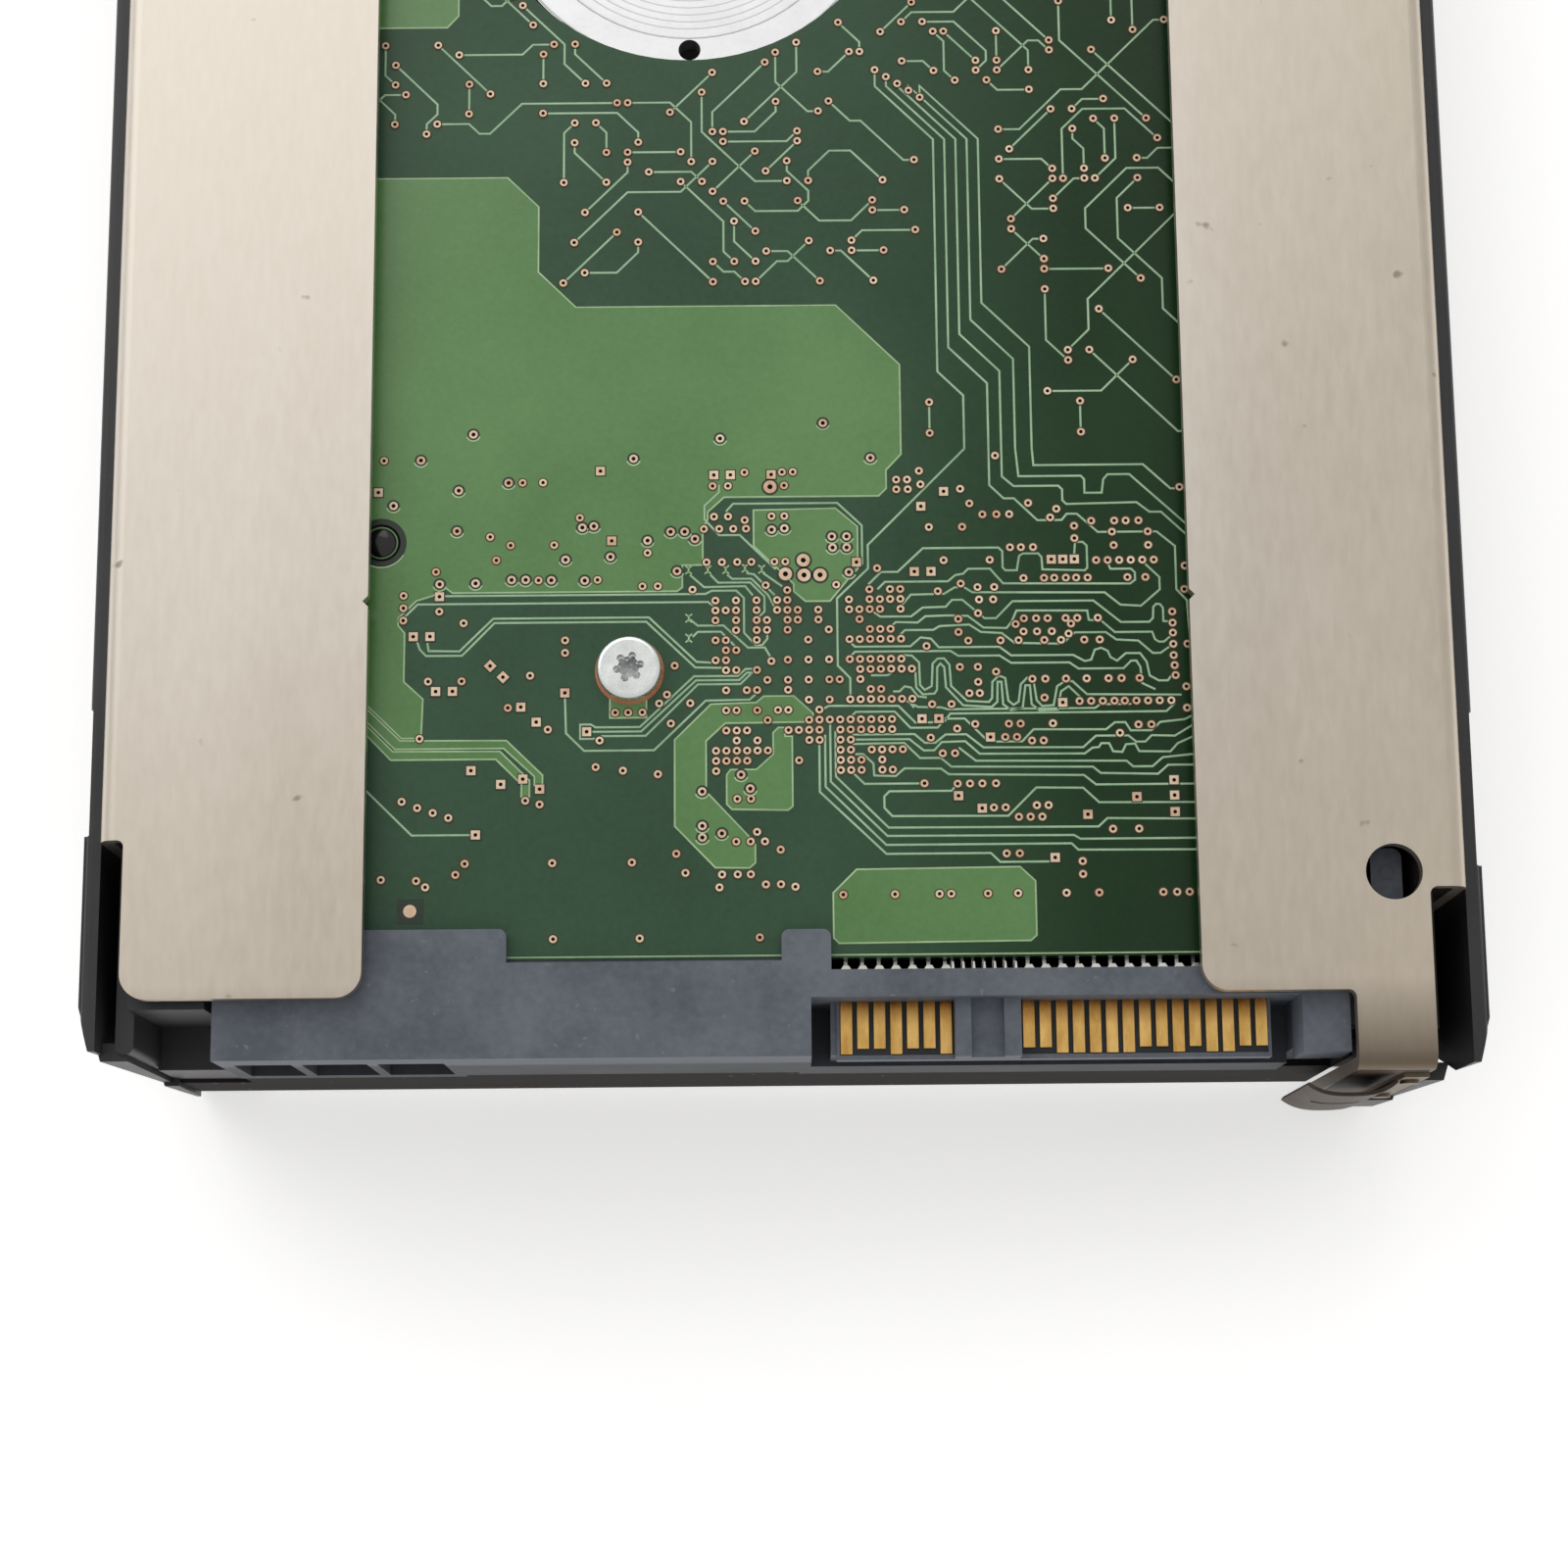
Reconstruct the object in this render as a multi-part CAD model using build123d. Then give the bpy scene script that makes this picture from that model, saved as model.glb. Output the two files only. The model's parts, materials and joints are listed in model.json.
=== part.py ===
"""Hot-swap carrier with a 3.5 inch SAS hard disk drive, lying on its lid side with the circuit board up.

X runs across the drive, Y from the connector end towards the front bezel, and Z up from the plane that
the carrier rests on.  Everything is drawn with Y = 0 at the drive's connector end, and write_parts() then
slides the whole model along Y, so that the origin is the centre of the footprint.  Lengths are in mm.
"""
from build123d import *
from math import acos, atan2, cos, degrees, radians, sin, sqrt
import os

# ---------------------------------------------------------------- driving dimensions
DRIVE_W = 101.6
DRIVE_L = 147.0
DRIVE_H = 26.1
SHEET = 1.0
LID_Z = SHEET                       # the lid lies on the tray's lower flanges
DATUM_Z = LID_Z + DRIVE_H           # the drive's mounting face, on the board side
TOP_Z = DATUM_Z + SHEET

TRAY_HALF = DRIVE_W / 2 + 0.1 + SHEET
TRAY_FRONT = 150.0
BEND_OUT = 1.3
BEND_IN = 0.3
WING_INNER = 31.5
WING_END = 4.5
WING_CORNER = 2.0
NOTCH_Y = 35.3
LEFT_WALL_START = 16.7
RIGHT_WALL_START = 12.3
LEFT_WING_EDGE = 49.9
LEFT_WING_INNER = 31.7
TAB_X = (43.0, 48.9)
TAB_END = -1.5
TAB_BOTTOM = 8.0
FLANGE_INNER = 44.0
WING_HOLE = (46.25, 13.45)
WING_HOLE_R = 2.15

SIDE_HOLE_Y = (28.5, 130.1)
SIDE_HOLE_Z = DATUM_Z - 6.35
BASE_HOLE_X = 47.63
BASE_HOLE_Y = (41.28, 85.73)

RAIL_IN = TRAY_HALF + 0.05
RAIL_OUT = 53.2
RAIL_Z = (1.2, 26.6)
RAIL_FRONT = 148.5

BASE_Z = 2.6                        # the casting's sealing face
CEILING_Z = 19.4                    # inner face of the casting's floor
FLOOR_Z = 21.8                      # outer face of the casting's floor, under the board
BOARD_Z = (DATUM_Z - 2.6, DATUM_Z - 1.4)
BOARD_HALF = 43.4
BOARD_Y = (7.6, 123.0)
MOTOR_CUT_R = 17.0

SPINDLE = (-7.0, 98.0)
PIVOT = (21.0, 52.0)
DISK_R = 35.0
DISK_BORE_R = 12.5
DISK_T = 0.8
SPACER_T = 1.8
DISK_COUNT = 4
STACK_TOP = 15.2
HUB_R = 12.4
SPACER_R = 15.0
PITCH_Z = DISK_T + SPACER_T
ARM_T = 0.9
HEAD_L = 48.0                       # pivot to read/write head
PARKED_R = 37.6
INNER_TRACK_R = 18.0

PIN_PITCH = 1.27
FINE_PITCH = 0.8
PLUG_CENTRE = 20.68                 # connector centre, from the drive's centre line
FIRST_SIGNAL_X = PLUG_CENTRE - 12.5 * PIN_PITCH
FIRST_POWER_X = FIRST_SIGNAL_X + 11 * PIN_PITCH
FIRST_FINE_X = FIRST_SIGNAL_X + 8.15
TONGUE_Z = (DATUM_Z - 4.73, DATUM_Z - 3.5)
HOUSING_Z = (DATUM_Z - 12.5, DATUM_Z - 0.6)
SHORT_PINS = {"signal": (1, 2, 4, 5), "power": (0, 1, 7, 8, 10, 13, 14)}

BEZEL_Y = (150.2, 164.2)
BEZEL_HALF = 54.5
WALL = 1.6
POCKET_LEFT = -34.0
POCKET_Y = 156.2
POCKET_Z = (3.0, TOP_Z - 3.0)
HINGE = (47.0, 160.0)
HINGE_R = 1.2
LEVER_Y = (158.6, 164.6)
LEVER_Z = (POCKET_Z[0] + 0.4, POCKET_Z[1] - 0.4)
LEVER_END = POCKET_LEFT + 0.4
BUTTON_X = (-48.8, -40.7)
BUTTON_Z = (7.9, 20.2)
BUTTON_TRAVEL = 2.0
BUTTON_SPRING_Y = 157.4
LIGHT_X = (-49.5, -43.8)
LIGHT_Z = 23.8
LIGHT_R = 1.15

SPRING_HINGE = (46.6, TAB_END - 0.5)
SPRING_Z = (13.5, 24.5)


# ---------------------------------------------------------------- helpers
def slab(x0, x1, y0, y1, z0, z1):
    """A box between two corners."""
    return Pos((x0 + x1) / 2, (y0 + y1) / 2, (z0 + z1) / 2) * Box(x1 - x0, y1 - y0, z1 - z0)


def rod(x, y, z0, z1, r):
    """An upright cylinder."""
    return Pos(x, y, (z0 + z1) / 2) * Cylinder(r, z1 - z0)


def rod_x(x0, x1, y, z, r):
    """A cylinder along X."""
    return Pos((x0 + x1) / 2, y, z) * Rot(0, 90, 0) * Cylinder(r, abs(x1 - x0))


def rod_y(x, y0, y1, z, r):
    """A cylinder along Y."""
    return Pos(x, (y0 + y1) / 2, z) * Rot(90, 0, 0) * Cylinder(r, y1 - y0)


def tube(x, y, z0, z1, r_out, r_in):
    """An upright ring."""
    return rod(x, y, z0, z1, r_out) - rod(x, y, z0 - 1, z1 + 1, r_in)


def prism(points, z0, z1):
    """A plan outline pulled up from z0 to z1."""
    return extrude(Pos(0, 0, z0) * make_face(Polyline(*points, close=True)), z1 - z0)


def prism_y(points, y0, y1, rounds=()):
    """An (x, z) outline pulled from y0 to y1, with ((x, z), radius) corners rounded."""
    plane = Plane(origin=(0, y0, 0), x_dir=(1, 0, 0), z_dir=(0, -1, 0))
    return extrude(plane * rounded_face(points, rounds), amount=y1 - y0, dir=(0, 1, 0))


def prism_x(points, x0, x1, rounds=()):
    """A (y, z) outline pulled from x0 to x1, with ((y, z), radius) corners rounded."""
    plane = Plane(origin=(x0, 0, 0), x_dir=(0, 1, 0), z_dir=(1, 0, 0))
    return extrude(plane * rounded_face(points, rounds), amount=x1 - x0, dir=(1, 0, 0))


def rounded_face(points, rounds):
    """A flat face with some of its corners rounded."""
    face = make_face(Polyline(*points, close=True))
    for (u, v), radius in rounds:
        corner = face.vertices().sort_by_distance((u, v, 0))[0]
        face = fillet(corner, radius)
    return face


def round_uprights(part, corners, radius):
    """Rounds the upright edges that stand at the given (x, y) corners."""
    upright = part.edges().filter_by(Axis.Z)
    near = [e for e in upright if any(abs(e.center().X - x) + abs(e.center().Y - y) < 0.05 for x, y in corners)]
    return fillet(near, radius)


def joined(solids):
    """Several separate solids as one node."""
    first, *others = list(solids)
    return first + others


def ribbon(points, thickness):
    """A flat face that follows a smooth line through the points, with a constant thickness."""
    line = Spline(*points)
    left, right = [], []
    for step in range(25):
        at = line @ (step / 24)
        along = line % (step / 24)
        left.append((at.X - along.Y * thickness / 2, at.Y + along.X * thickness / 2))
        right.append((at.X + along.Y * thickness / 2, at.Y - along.X * thickness / 2))
    return make_face(Polyline(*left, *reversed(right), close=True))


def polar(centre, angle, radius):
    """The point at an angle and a distance from a centre."""
    return centre[0] + radius * cos(radians(angle)), centre[1] + radius * sin(radians(angle))


def sector(centre, r_in, r_out, angle, half, z0, z1):
    """A fan of a ring, half degrees to each side of an angle."""
    reach = r_out * 3
    wedge = prism([centre, polar(centre, angle - half, reach), polar(centre, angle + half, reach)], z0, z1)
    return wedge & tube(*centre, z0, z1, r_out, r_in)


# ---------------------------------------------------------------- where the heads swing
SPAN = sqrt((SPINDLE[0] - PIVOT[0]) ** 2 + (SPINDLE[1] - PIVOT[1]) ** 2)
TO_SPINDLE = degrees(atan2(SPINDLE[1] - PIVOT[1], SPINDLE[0] - PIVOT[0]))


def head_angle(track_r):
    """The arm's direction that puts the heads at a track's radius."""
    between = (SPAN ** 2 + HEAD_L ** 2 - track_r ** 2) / (2 * SPAN * HEAD_L)
    return TO_SPINDLE - degrees(acos(between))


PARKED = head_angle(PARKED_R)
SWING = head_angle(INNER_TRACK_R) - PARKED
COIL_MID = PARKED + SWING / 2 + 180
COIL_ANGLE = PARKED + 180


def disk_z(index):
    """Lower face of a disk, counted from the lid side."""
    return STACK_TOP - DISK_T - (DISK_COUNT - 1 - index) * PITCH_Z


def gap_z(index):
    """Middle of the gap below disk `index`, or above the last one."""
    return disk_z(0) - SPACER_T / 2 + index * PITCH_Z


# ---------------------------------------------------------------- carrier
def carrier_tray():
    """One bent steel sheet: two C-shaped sides, a front wall and the tab at the connector end."""
    w = TRAY_HALF
    inner = w - SHEET
    section = [
        (WING_INNER, DATUM_Z), (inner, DATUM_Z), (inner, SHEET), (FLANGE_INNER, SHEET),
        (FLANGE_INNER, 0), (w, 0), (w, TOP_Z), (WING_INNER, TOP_Z),
    ]
    rounds = [((w, 0), BEND_OUT), ((w, TOP_Z), BEND_OUT), ((inner, SHEET), BEND_IN), ((inner, DATUM_Z), BEND_IN)]
    right = prism_y(section, WING_END, TRAY_FRONT - SHEET, rounds)
    left = mirror(right, Plane.YZ)
    left -= slab(-60, -LEFT_WING_EDGE, 0, LEFT_WALL_START, -1, 40) + slab(-60, -40, 0, LEFT_WALL_START, -1, 20)
    right -= slab(TAB_X[1], 60, 0, RIGHT_WALL_START, -1, 40) + slab(40, 60, 0, RIGHT_WALL_START, -1, 20)
    tab = prism_x(
        [(WING_END + 1, DATUM_Z), (TAB_END + SHEET, DATUM_Z), (TAB_END + SHEET, TAB_BOTTOM),
         (TAB_END, TAB_BOTTOM), (TAB_END, TOP_Z), (WING_END + 1, TOP_Z)],
        *TAB_X,
        [((TAB_END, TOP_Z), BEND_OUT), ((TAB_END + SHEET, DATUM_Z), BEND_IN)],
    )
    right += tab
    notch_l = Pos(-LEFT_WING_INNER, NOTCH_Y, DATUM_Z) * Rot(0, 0, 45) * Box(0.6, 0.6, 4)
    notch_r = Pos(WING_INNER, NOTCH_Y, DATUM_Z) * Rot(0, 0, 45) * Box(0.6, 0.6, 4)
    left -= notch_l + slab(-LEFT_WING_INNER, 0, 0, TRAY_FRONT - SHEET, DATUM_Z - 0.1, 40)
    right -= notch_r + rod(*WING_HOLE, 20, 40, WING_HOLE_R)
    left = round_uprights(left, [(-LEFT_WING_INNER, WING_END), (-LEFT_WING_EDGE, WING_END)], WING_CORNER)
    left = round_uprights(left, [(-LEFT_WING_EDGE, LEFT_WALL_START)], 0.5)
    right = round_uprights(right, [(WING_INNER, WING_END)], WING_CORNER)
    right = round_uprights(right, [(TAB_X[0], WING_END), (TAB_X[1], RIGHT_WALL_START)], 0.6)
    front = slab(-w, w, TRAY_FRONT - SHEET, TRAY_FRONT, 0, TOP_Z)
    front = round_uprights(front, [(-w, TRAY_FRONT), (w, TRAY_FRONT)], 0.9)
    for column in range(-3, 4):
        front -= slab(column * 11.5 - 4.4, column * 11.5 + 4.4, 140, 160, 7.0, 21.0)
    for x in (-38, 38):
        for z in (4.6, 23.4):
            front -= rod_y(x, 140, 160, z, 1.3)
    tray = left + right + front
    for y in SIDE_HOLE_Y:
        tray -= rod_x(-60, 60, y, SIDE_HOLE_Z, 1.9)
    return tray


def guide_rail(side, start, wall_end, step_from, step_to, inner_wall_top, return_x, return_top):
    """A moulded guide rail; side is -1 for left and 1 for right, start is its connector end.

    The left rail also fills the notch in the casting's corner."""
    bottom, top = RAIL_Z
    rail = prism_y(
        [(RAIL_IN, bottom), (RAIL_OUT, bottom), (RAIL_OUT, top), (RAIL_IN, top)],
        start, RAIL_FRONT, [((RAIL_OUT, top), 0.6), ((RAIL_OUT, bottom), 0.6)],
    )
    rail += slab(RAIL_IN, RAIL_OUT + 0.2, start, step_from, bottom + 0.6, top - 0.5)
    rail -= slab(RAIL_OUT - 0.25, 60, step_from, step_to, 0, 40)
    rail -= slab(RAIL_OUT - 0.7, 60, 38, 120, 7.0, 12.0)
    rail -= slab(RAIL_OUT - 0.7, 60, 38, 120, 15.0, 17.0)
    inner_wall = slab(49.5, 50.9, start, wall_end, bottom, inner_wall_top)
    inner_wall = round_uprights(inner_wall, [(49.5, start), (50.9, start)], 0.6)
    rail += inner_wall
    rail += slab(return_x, 52.6, start - 0.8, start + 0.4, bottom, return_top)
    rail += slab(50.0, 52.6, start - 0.5, start + 0.9, bottom, inner_wall_top - 0.4)
    rail += slab(50.5, RAIL_OUT, start, wall_end, bottom, 4.0)
    if side < 0:
        rail += slab(43.9, 49.7, 0.6, 5.0, 9.2, 15.5) + slab(43.9, 49.7, 4.0, 5.0, 15.0, 26.0)
    outer = RAIL_OUT + 0.9
    edge = start - 2.2
    low = make_face(Polyline((outer, start + 11.2, 0), (outer, edge, 0), (49.1, edge, 0), close=True))
    high = make_face(Polyline((outer, start + 5.7, 27), (outer, edge, 27), (51.9, edge, 27), close=True))
    rail -= loft([low, high], ruled=True)
    for y in SIDE_HOLE_Y:
        rail -= rod_x(50, 60, y, SIDE_HOLE_Z, 1.9) + rod_x(52.3, 60, y, SIDE_HOLE_Z, 3.3)
    return rail if side > 0 else mirror(rail, Plane.YZ)


def tray_screws():
    """Four 6-32 screws through rail and tray into the drive's sides."""
    solids = []
    for side in (-1, 1):
        for y in SIDE_HOLE_Y:
            head = rod_x(side * 52.3, side * 53.3, y, SIDE_HOLE_Z, 3.0)
            head -= torx_socket(1.0).moved(Location((side * 52.9, y, SIDE_HOLE_Z), (0, side * 90, 0)))
            solids.append(head + rod_x(side * 46.0, side * 52.4, y, SIDE_HOLE_Z, 1.65))
    return joined(solids)


def torx_socket(size):
    """A six-lobed recess, 2 mm tall, standing on the origin's plane."""
    star = Cylinder(0.82 * size, 2)
    for lobe in range(6):
        star += Pos(*polar((0, 0), lobe * 60, 0.92 * size), 0) * Cylinder(0.3 * size, 2)
    return star.moved(Location((0, 0, 1)))


def spring_bracket():
    """The plate on the tray's end wall that carries the grounding spring."""
    plate = slab(SPRING_HINGE[0] + 0.3, TAB_X[1] - 0.1, TAB_END - 0.4, TAB_END, 10.5, 25.5)
    for z in (13.0, 23.0):
        plate += rod_y(47.85, TAB_END - 0.65, TAB_END - 0.3, z, 0.75)
    return plate


def grounding_spring():
    """A bowed leaf of spring steel that wipes along the chassis wall."""
    x, y = SPRING_HINGE
    outline = ribbon([(x, y), (x - 1.2, y - 0.75), (x - 3.4, y - 1.05), (x - 5.7, y - 0.8), (x - 6.8, y - 0.2)], 0.3)
    leaf = extrude(Pos(0, 0, SPRING_Z[0]) * outline, SPRING_Z[1] - SPRING_Z[0])
    slot = slab(x - 5.6, x - 1.8, y - 4, y + 1, 18.7, 19.3)
    return leaf - slot


# ---------------------------------------------------------------- front bezel, lever and button
def front_bezel():
    """Moulded bezel with a pocket for the lever, a vent grille, and openings for button and lights."""
    y0, y1 = BEZEL_Y
    bezel = slab(-BEZEL_HALF, BEZEL_HALF, y0, y1, 0, TOP_Z)
    bezel = round_uprights(bezel, [(-BEZEL_HALF, y1), (BEZEL_HALF, y1)], 2.0)
    inside = BEZEL_HALF - WALL
    bezel -= slab(-inside, inside, y0 - 1, POCKET_Y - WALL, WALL, TOP_Z - WALL)
    bezel -= slab(-inside, POCKET_LEFT - WALL, y0 - 1, y1 - WALL, WALL, TOP_Z - WALL)
    bezel -= slab(POCKET_LEFT, BEZEL_HALF + 1, POCKET_Y, y1 + 1, *POCKET_Z)
    bezel -= slab(43.5, BEZEL_HALF + 1, y0 + 1.0, y1 + 1, 8.4, 19.6)
    for row, z in enumerate((7.7, 11.9, 16.1, 20.3)):
        for column in range(15 - row % 2):
            x = -29.6 + 4.85 * column + 2.42 * (row % 2)
            cell = extrude(Plane.XZ.offset(-y0) * RegularPolygon(2.1, 6, rotation=30), amount=-20)
            bezel -= Pos(x, 0, z) * cell
    slot_x = BUTTON_X[0] - BUTTON_TRAVEL - 0.4
    bezel -= slab(slot_x, BUTTON_X[1] + 0.3, y0 + 5, y1 + 1, BUTTON_Z[0] - 0.3, BUTTON_Z[1] + 0.3)
    bezel -= slab(POCKET_LEFT - 3, POCKET_LEFT + 1, y1 - 3.7, y1 - 1.5, 11.5, 16.6)
    for x in LIGHT_X:
        bezel -= rod_y(x, y0, y1 + 1, LIGHT_Z, LIGHT_R + 0.1)
    for x in (-38, 38):
        for z, wall_z in ((4.6, WALL / 2), (23.4, TOP_Z - WALL / 2)):
            bezel += rod_y(x, y0, y0 + 4.6, z, 2.2) + slab(x - 0.6, x + 0.6, y0, y0 + 4.6, *sorted((z, wall_z)))
            bezel -= rod_y(x, y0 - 1, y0 + 4, z, 1.05)
    bezel -= rod(*HINGE, 1.0, TOP_Z - 1.0, HINGE_R + 0.03)
    return bezel


def bezel_screws():
    """Four screws through the tray's front wall into the bezel's bosses."""
    solids = []
    for x in (-38, 38):
        for z in (4.6, 23.4):
            head = rod_y(x, TRAY_FRONT - SHEET - 1.3, TRAY_FRONT - SHEET, z, 2.1)
            solids.append(head + rod_y(x, TRAY_FRONT - SHEET - 0.5, BEZEL_Y[0] + 3.6, z, 1.0))
    return joined(solids)


def ejector_lever():
    """The handle: a hollow plate with windows, a hinge boss and the cam tooth that pulls on the chassis."""
    y0, y1 = LEVER_Y
    z0, z1 = LEVER_Z
    lever = slab(LEVER_END, 48.0, y0, y1, z0, z1)
    lever = round_uprights(lever, [(LEVER_END, y0), (LEVER_END, y1)], 1.2)
    lever -= slab(LEVER_END + 1.8, 41.5, y0 - 1, y1 - 2.0, z0 + 1.8, z1 - 1.8)
    lever += rod(*HINGE, z0, z1, 3.4)
    right_edge = slab(46.0, 51.0, HINGE[1], y1, z0, z1)
    lever += round_uprights(right_edge, [(51.0, y1)], 2.0)
    for column in range(6):
        x = -27.0 + column * 11.3
        window = slab(x, x + 8.9, y0, y1 + 1, z0 + 4.2, z1 - 4.2)
        lever -= fillet(window.edges().filter_by(Axis.Y), 1.4)
    hx, hy = HINGE
    tooth = prism(
        [(hx, hy - 3.2), (hx + 5.2, hy - 5.2), (hx + 7.2, hy - 4.2), (hx + 6.6, hy - 1.2), (hx + 3.0, hy + 2.0), (hx, hy)],
        9.0, 18.5,
    )
    lever += tooth
    lever -= rod(hx, hy, 19.8, 23.4, 3.0)
    lever -= rod(hx, hy, z0 - 1, z1 + 1, HINGE_R + 0.06)
    return lever


def coil_spring(radius, wire, pitch, turns):
    """A helical spring standing on the origin's plane."""
    line = Helix(pitch=pitch, height=pitch * turns, radius=radius)
    start = Plane(origin=line @ 0, z_dir=line % 0)
    return sweep(start * Circle(wire / 2), path=line)


def release_button():
    """The sliding thumb catch beside the lever, with its flange behind the bezel's wall and its nose."""
    x0, x1 = BUTTON_X
    z0, z1 = BUTTON_Z
    y1 = BEZEL_Y[1]
    button = slab(x0, x1, y1 - 3.4, y1 + 0.3, z0, z1)
    button = fillet(button.edges().filter_by(Axis.Y), 0.8)
    button += slab(x0 - 1.7, POCKET_LEFT - WALL - 2.2, y1 - 3.4, y1 - WALL - 0.2, z0 - 1.2, z1 + 1.2)
    button += slab(POCKET_LEFT - WALL - 3, POCKET_LEFT - 0.2, y1 - 3.4, y1 - WALL - 0.2, 11.8, 16.3)
    button += slab(x1 - 1.5, x1, BUTTON_SPRING_Y - 2.6, y1 - 3.0, 11.0, 17.0)
    for ridge in range(4):
        x = x0 + 1.5 + ridge * 1.5
        button -= slab(x, x + 0.6, y1 - 0.15, y1 + 1, z0 + 1.6, z1 - 1.6)
    return button


def button_spring():
    """The coil spring that returns the catch, between the bezel's side wall and the catch's lug."""
    x0, x1 = WALL - BEZEL_HALF + 0.35, BUTTON_X[1] - 1.5 - 0.35
    spring = coil_spring(2.0, 0.5, (x1 - x0) / 6, 6)
    return spring.moved(Location((x0, BUTTON_SPRING_Y, 14.0), (0, 90, 0)))


def light_pipes():
    """Two clear rods behind the status windows."""
    return joined(rod_y(x, BEZEL_Y[0] + 0.4, BEZEL_Y[1] + 0.1, LIGHT_Z, LIGHT_R) for x in LIGHT_X)


# ---------------------------------------------------------------- drive casing
BOARD_SCREWS = ((-11.7, 30.2), (-39.5, 20.0), (39.0, 62.0), (-39.5, 112.0), (36.5, 116.0))
COVER_SCREWS = ((-48.0, 24.0), (48.0, 24.0), (-48.0, 76.0), (48.0, 76.0), (-48.0, 138.0), (48.0, 138.0),
                (-20.0, 7.0), (20.0, 7.0), (0.0, 142.5))


def base_casting():
    """The aluminium body: board recess above, sealed disk and actuator chamber below."""
    half = DRIVE_W / 2
    base = slab(-half, half, 0.3, DRIVE_L, BASE_Z, DATUM_Z)
    base = round_uprights(base, [(-half, DRIVE_L), (half, DRIVE_L)], 3.0)
    shoulders = [e for e in base.edges().filter_by(Axis.Y) if abs(e.center().X) > half - 0.1]
    base = chamfer(shoulders, 0.4)
    chamber = slab(-44, 46, 13, 66, BASE_Z - 1, CEILING_Z)
    chamber = round_uprights(chamber, [(-44, 13), (46, 13), (-44, 66), (46, 66)], 4.0)
    chamber += rod(*SPINDLE, BASE_Z - 1, CEILING_Z, 37.2)
    chamber += slab(10, 44, 60, 112, BASE_Z - 1, CEILING_Z)
    base -= chamber
    base -= slab(-44, 44, 10, 124.5, FLOOR_Z, 40)
    base -= slab(-43.6, 43.6, -1, 10.5, HOUSING_Z[0] - 0.2, 40)
    base -= slab(-60, -43.5, -1, 5.2, 9.0, 40) + slab(-60, -49.3, -1, LEFT_WALL_START, -1, 40)
    base -= slab(49.3, 60, -1, RIGHT_WALL_START, -1, 40) + slab(43.0, 48.4, -1, 17.0, 21.4, 40)
    base -= slab(43.9, 60, -1, 1.6, -1, 40)
    base -= rod(*SPINDLE, CEILING_Z - 1, FLOOR_Z + 1, 13.9)
    for x, y in BOARD_SCREWS:
        base += rod(x, y, FLOOR_Z - 0.5, BOARD_Z[0], 3.0)
        base -= rod(x, y, FLOOR_Z - 1.8, 40, 1.3)
    for x, y in COVER_SCREWS:
        base -= rod(x, y, 0, 9.5, 1.15)
    for side in (-1, 1):
        for y in BASE_HOLE_Y:
            base -= rod(side * BASE_HOLE_X, y, DATUM_Z - 4.5, 40, 1.6)
        for y in SIDE_HOLE_Y:
            base -= rod_x(side * 45.6, side * 60, y, SIDE_HOLE_Z, 1.75)
    for column in range(9):
        base -= slab(-41 + column * 9.4, -34.5 + column * 9.4, 127.5, 143.5, 24.0, 40)
    base -= rod(PIVOT[0], PIVOT[1], CEILING_Z - 1, CEILING_Z + 1.2, 1.55)
    return base


def top_cover():
    """The stamped lid, with a raised rim round a shallow label field."""
    half = DRIVE_W / 2 - 0.3
    lid = slab(-half, half, 0.6, DRIVE_L - 0.4, LID_Z + 0.02, LID_Z + 1.1)
    lid -= slab(-60, -49.3, -1, LEFT_WALL_START, -1, 40) + slab(49.3, 60, -1, RIGHT_WALL_START, -1, 40)
    lid -= slab(-60, -43.9, -1, 1.6, -1, 40) + slab(43.9, 60, -1, 1.6, -1, 40)
    lid = round_uprights(lid, [(-half, DRIVE_L - 0.4), (half, DRIVE_L - 0.4)], 4.0)
    lid -= slab(-41, 41, 20, 60, 0, LID_Z + 0.3)
    lid -= rod(*SPINDLE, 0, LID_Z + 0.3, 34.0)
    for x, y in COVER_SCREWS:
        lid -= rod(x, y, -1, 9, 1.3) + rod(x, y, -1, LID_Z + 0.75, 2.5)
    return lid


def cover_gasket():
    """The elastomer seal that runs round the chamber, between lid and casting."""
    z0, z1 = LID_Z + 1.1, BASE_Z
    outline = slab(-46.2, 47.8, 11, 68, z0, z1) + rod(*SPINDLE, z0, z1, 39.2) + slab(8, 46, 58, 114, z0, z1)
    inside = slab(-44.6, 46.4, 12.6, 66.4, 0, 9) + rod(*SPINDLE, 0, 9, 37.5) + slab(9.6, 44.4, 59.6, 112.4, 0, 9)
    seal = outline - inside
    for x, y in COVER_SCREWS:
        seal -= rod(x, y, 0, 9, 1.5)
    return seal


def cover_screws():
    """The lid's countersunk-style screws, heads flush in the lid."""
    solids = []
    for x, y in COVER_SCREWS:
        screw = rod(x, y, LID_Z + 0.1, LID_Z + 0.75, 2.3) + rod(x, y, LID_Z + 0.6, 9.0, 1.05)
        solids.append(screw - rod(x, y, LID_Z, LID_Z + 0.4, 1.0))
    return joined(solids)


def breather_filter():
    """The pressure-equalising filter stuck inside the lid."""
    return rod(-30, 26, LID_Z + 1.12, LID_Z + 3.0, 6.0)


def recirculation_filter():
    """The pleated pad that catches particles in the air stream."""
    pad = slab(-1.3, 1.3, -6, 6, 3.2, 18.8)
    for pleat in range(5):
        y = -4.8 + pleat * 2.4
        pad -= slab(0.5, 2, y - 0.5, y + 0.5, 4.5, 17.5)
    return pad.moved(Location((37.5, 75.5, 0), (0, 0, 35)))


def desiccant_pack():
    """The drying pack in the chamber's corner."""
    pack = slab(-41, -27, 40, 60, 4.0, 15.0)
    return fillet(pack.edges().filter_by(Axis.Z), 2.0)


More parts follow.
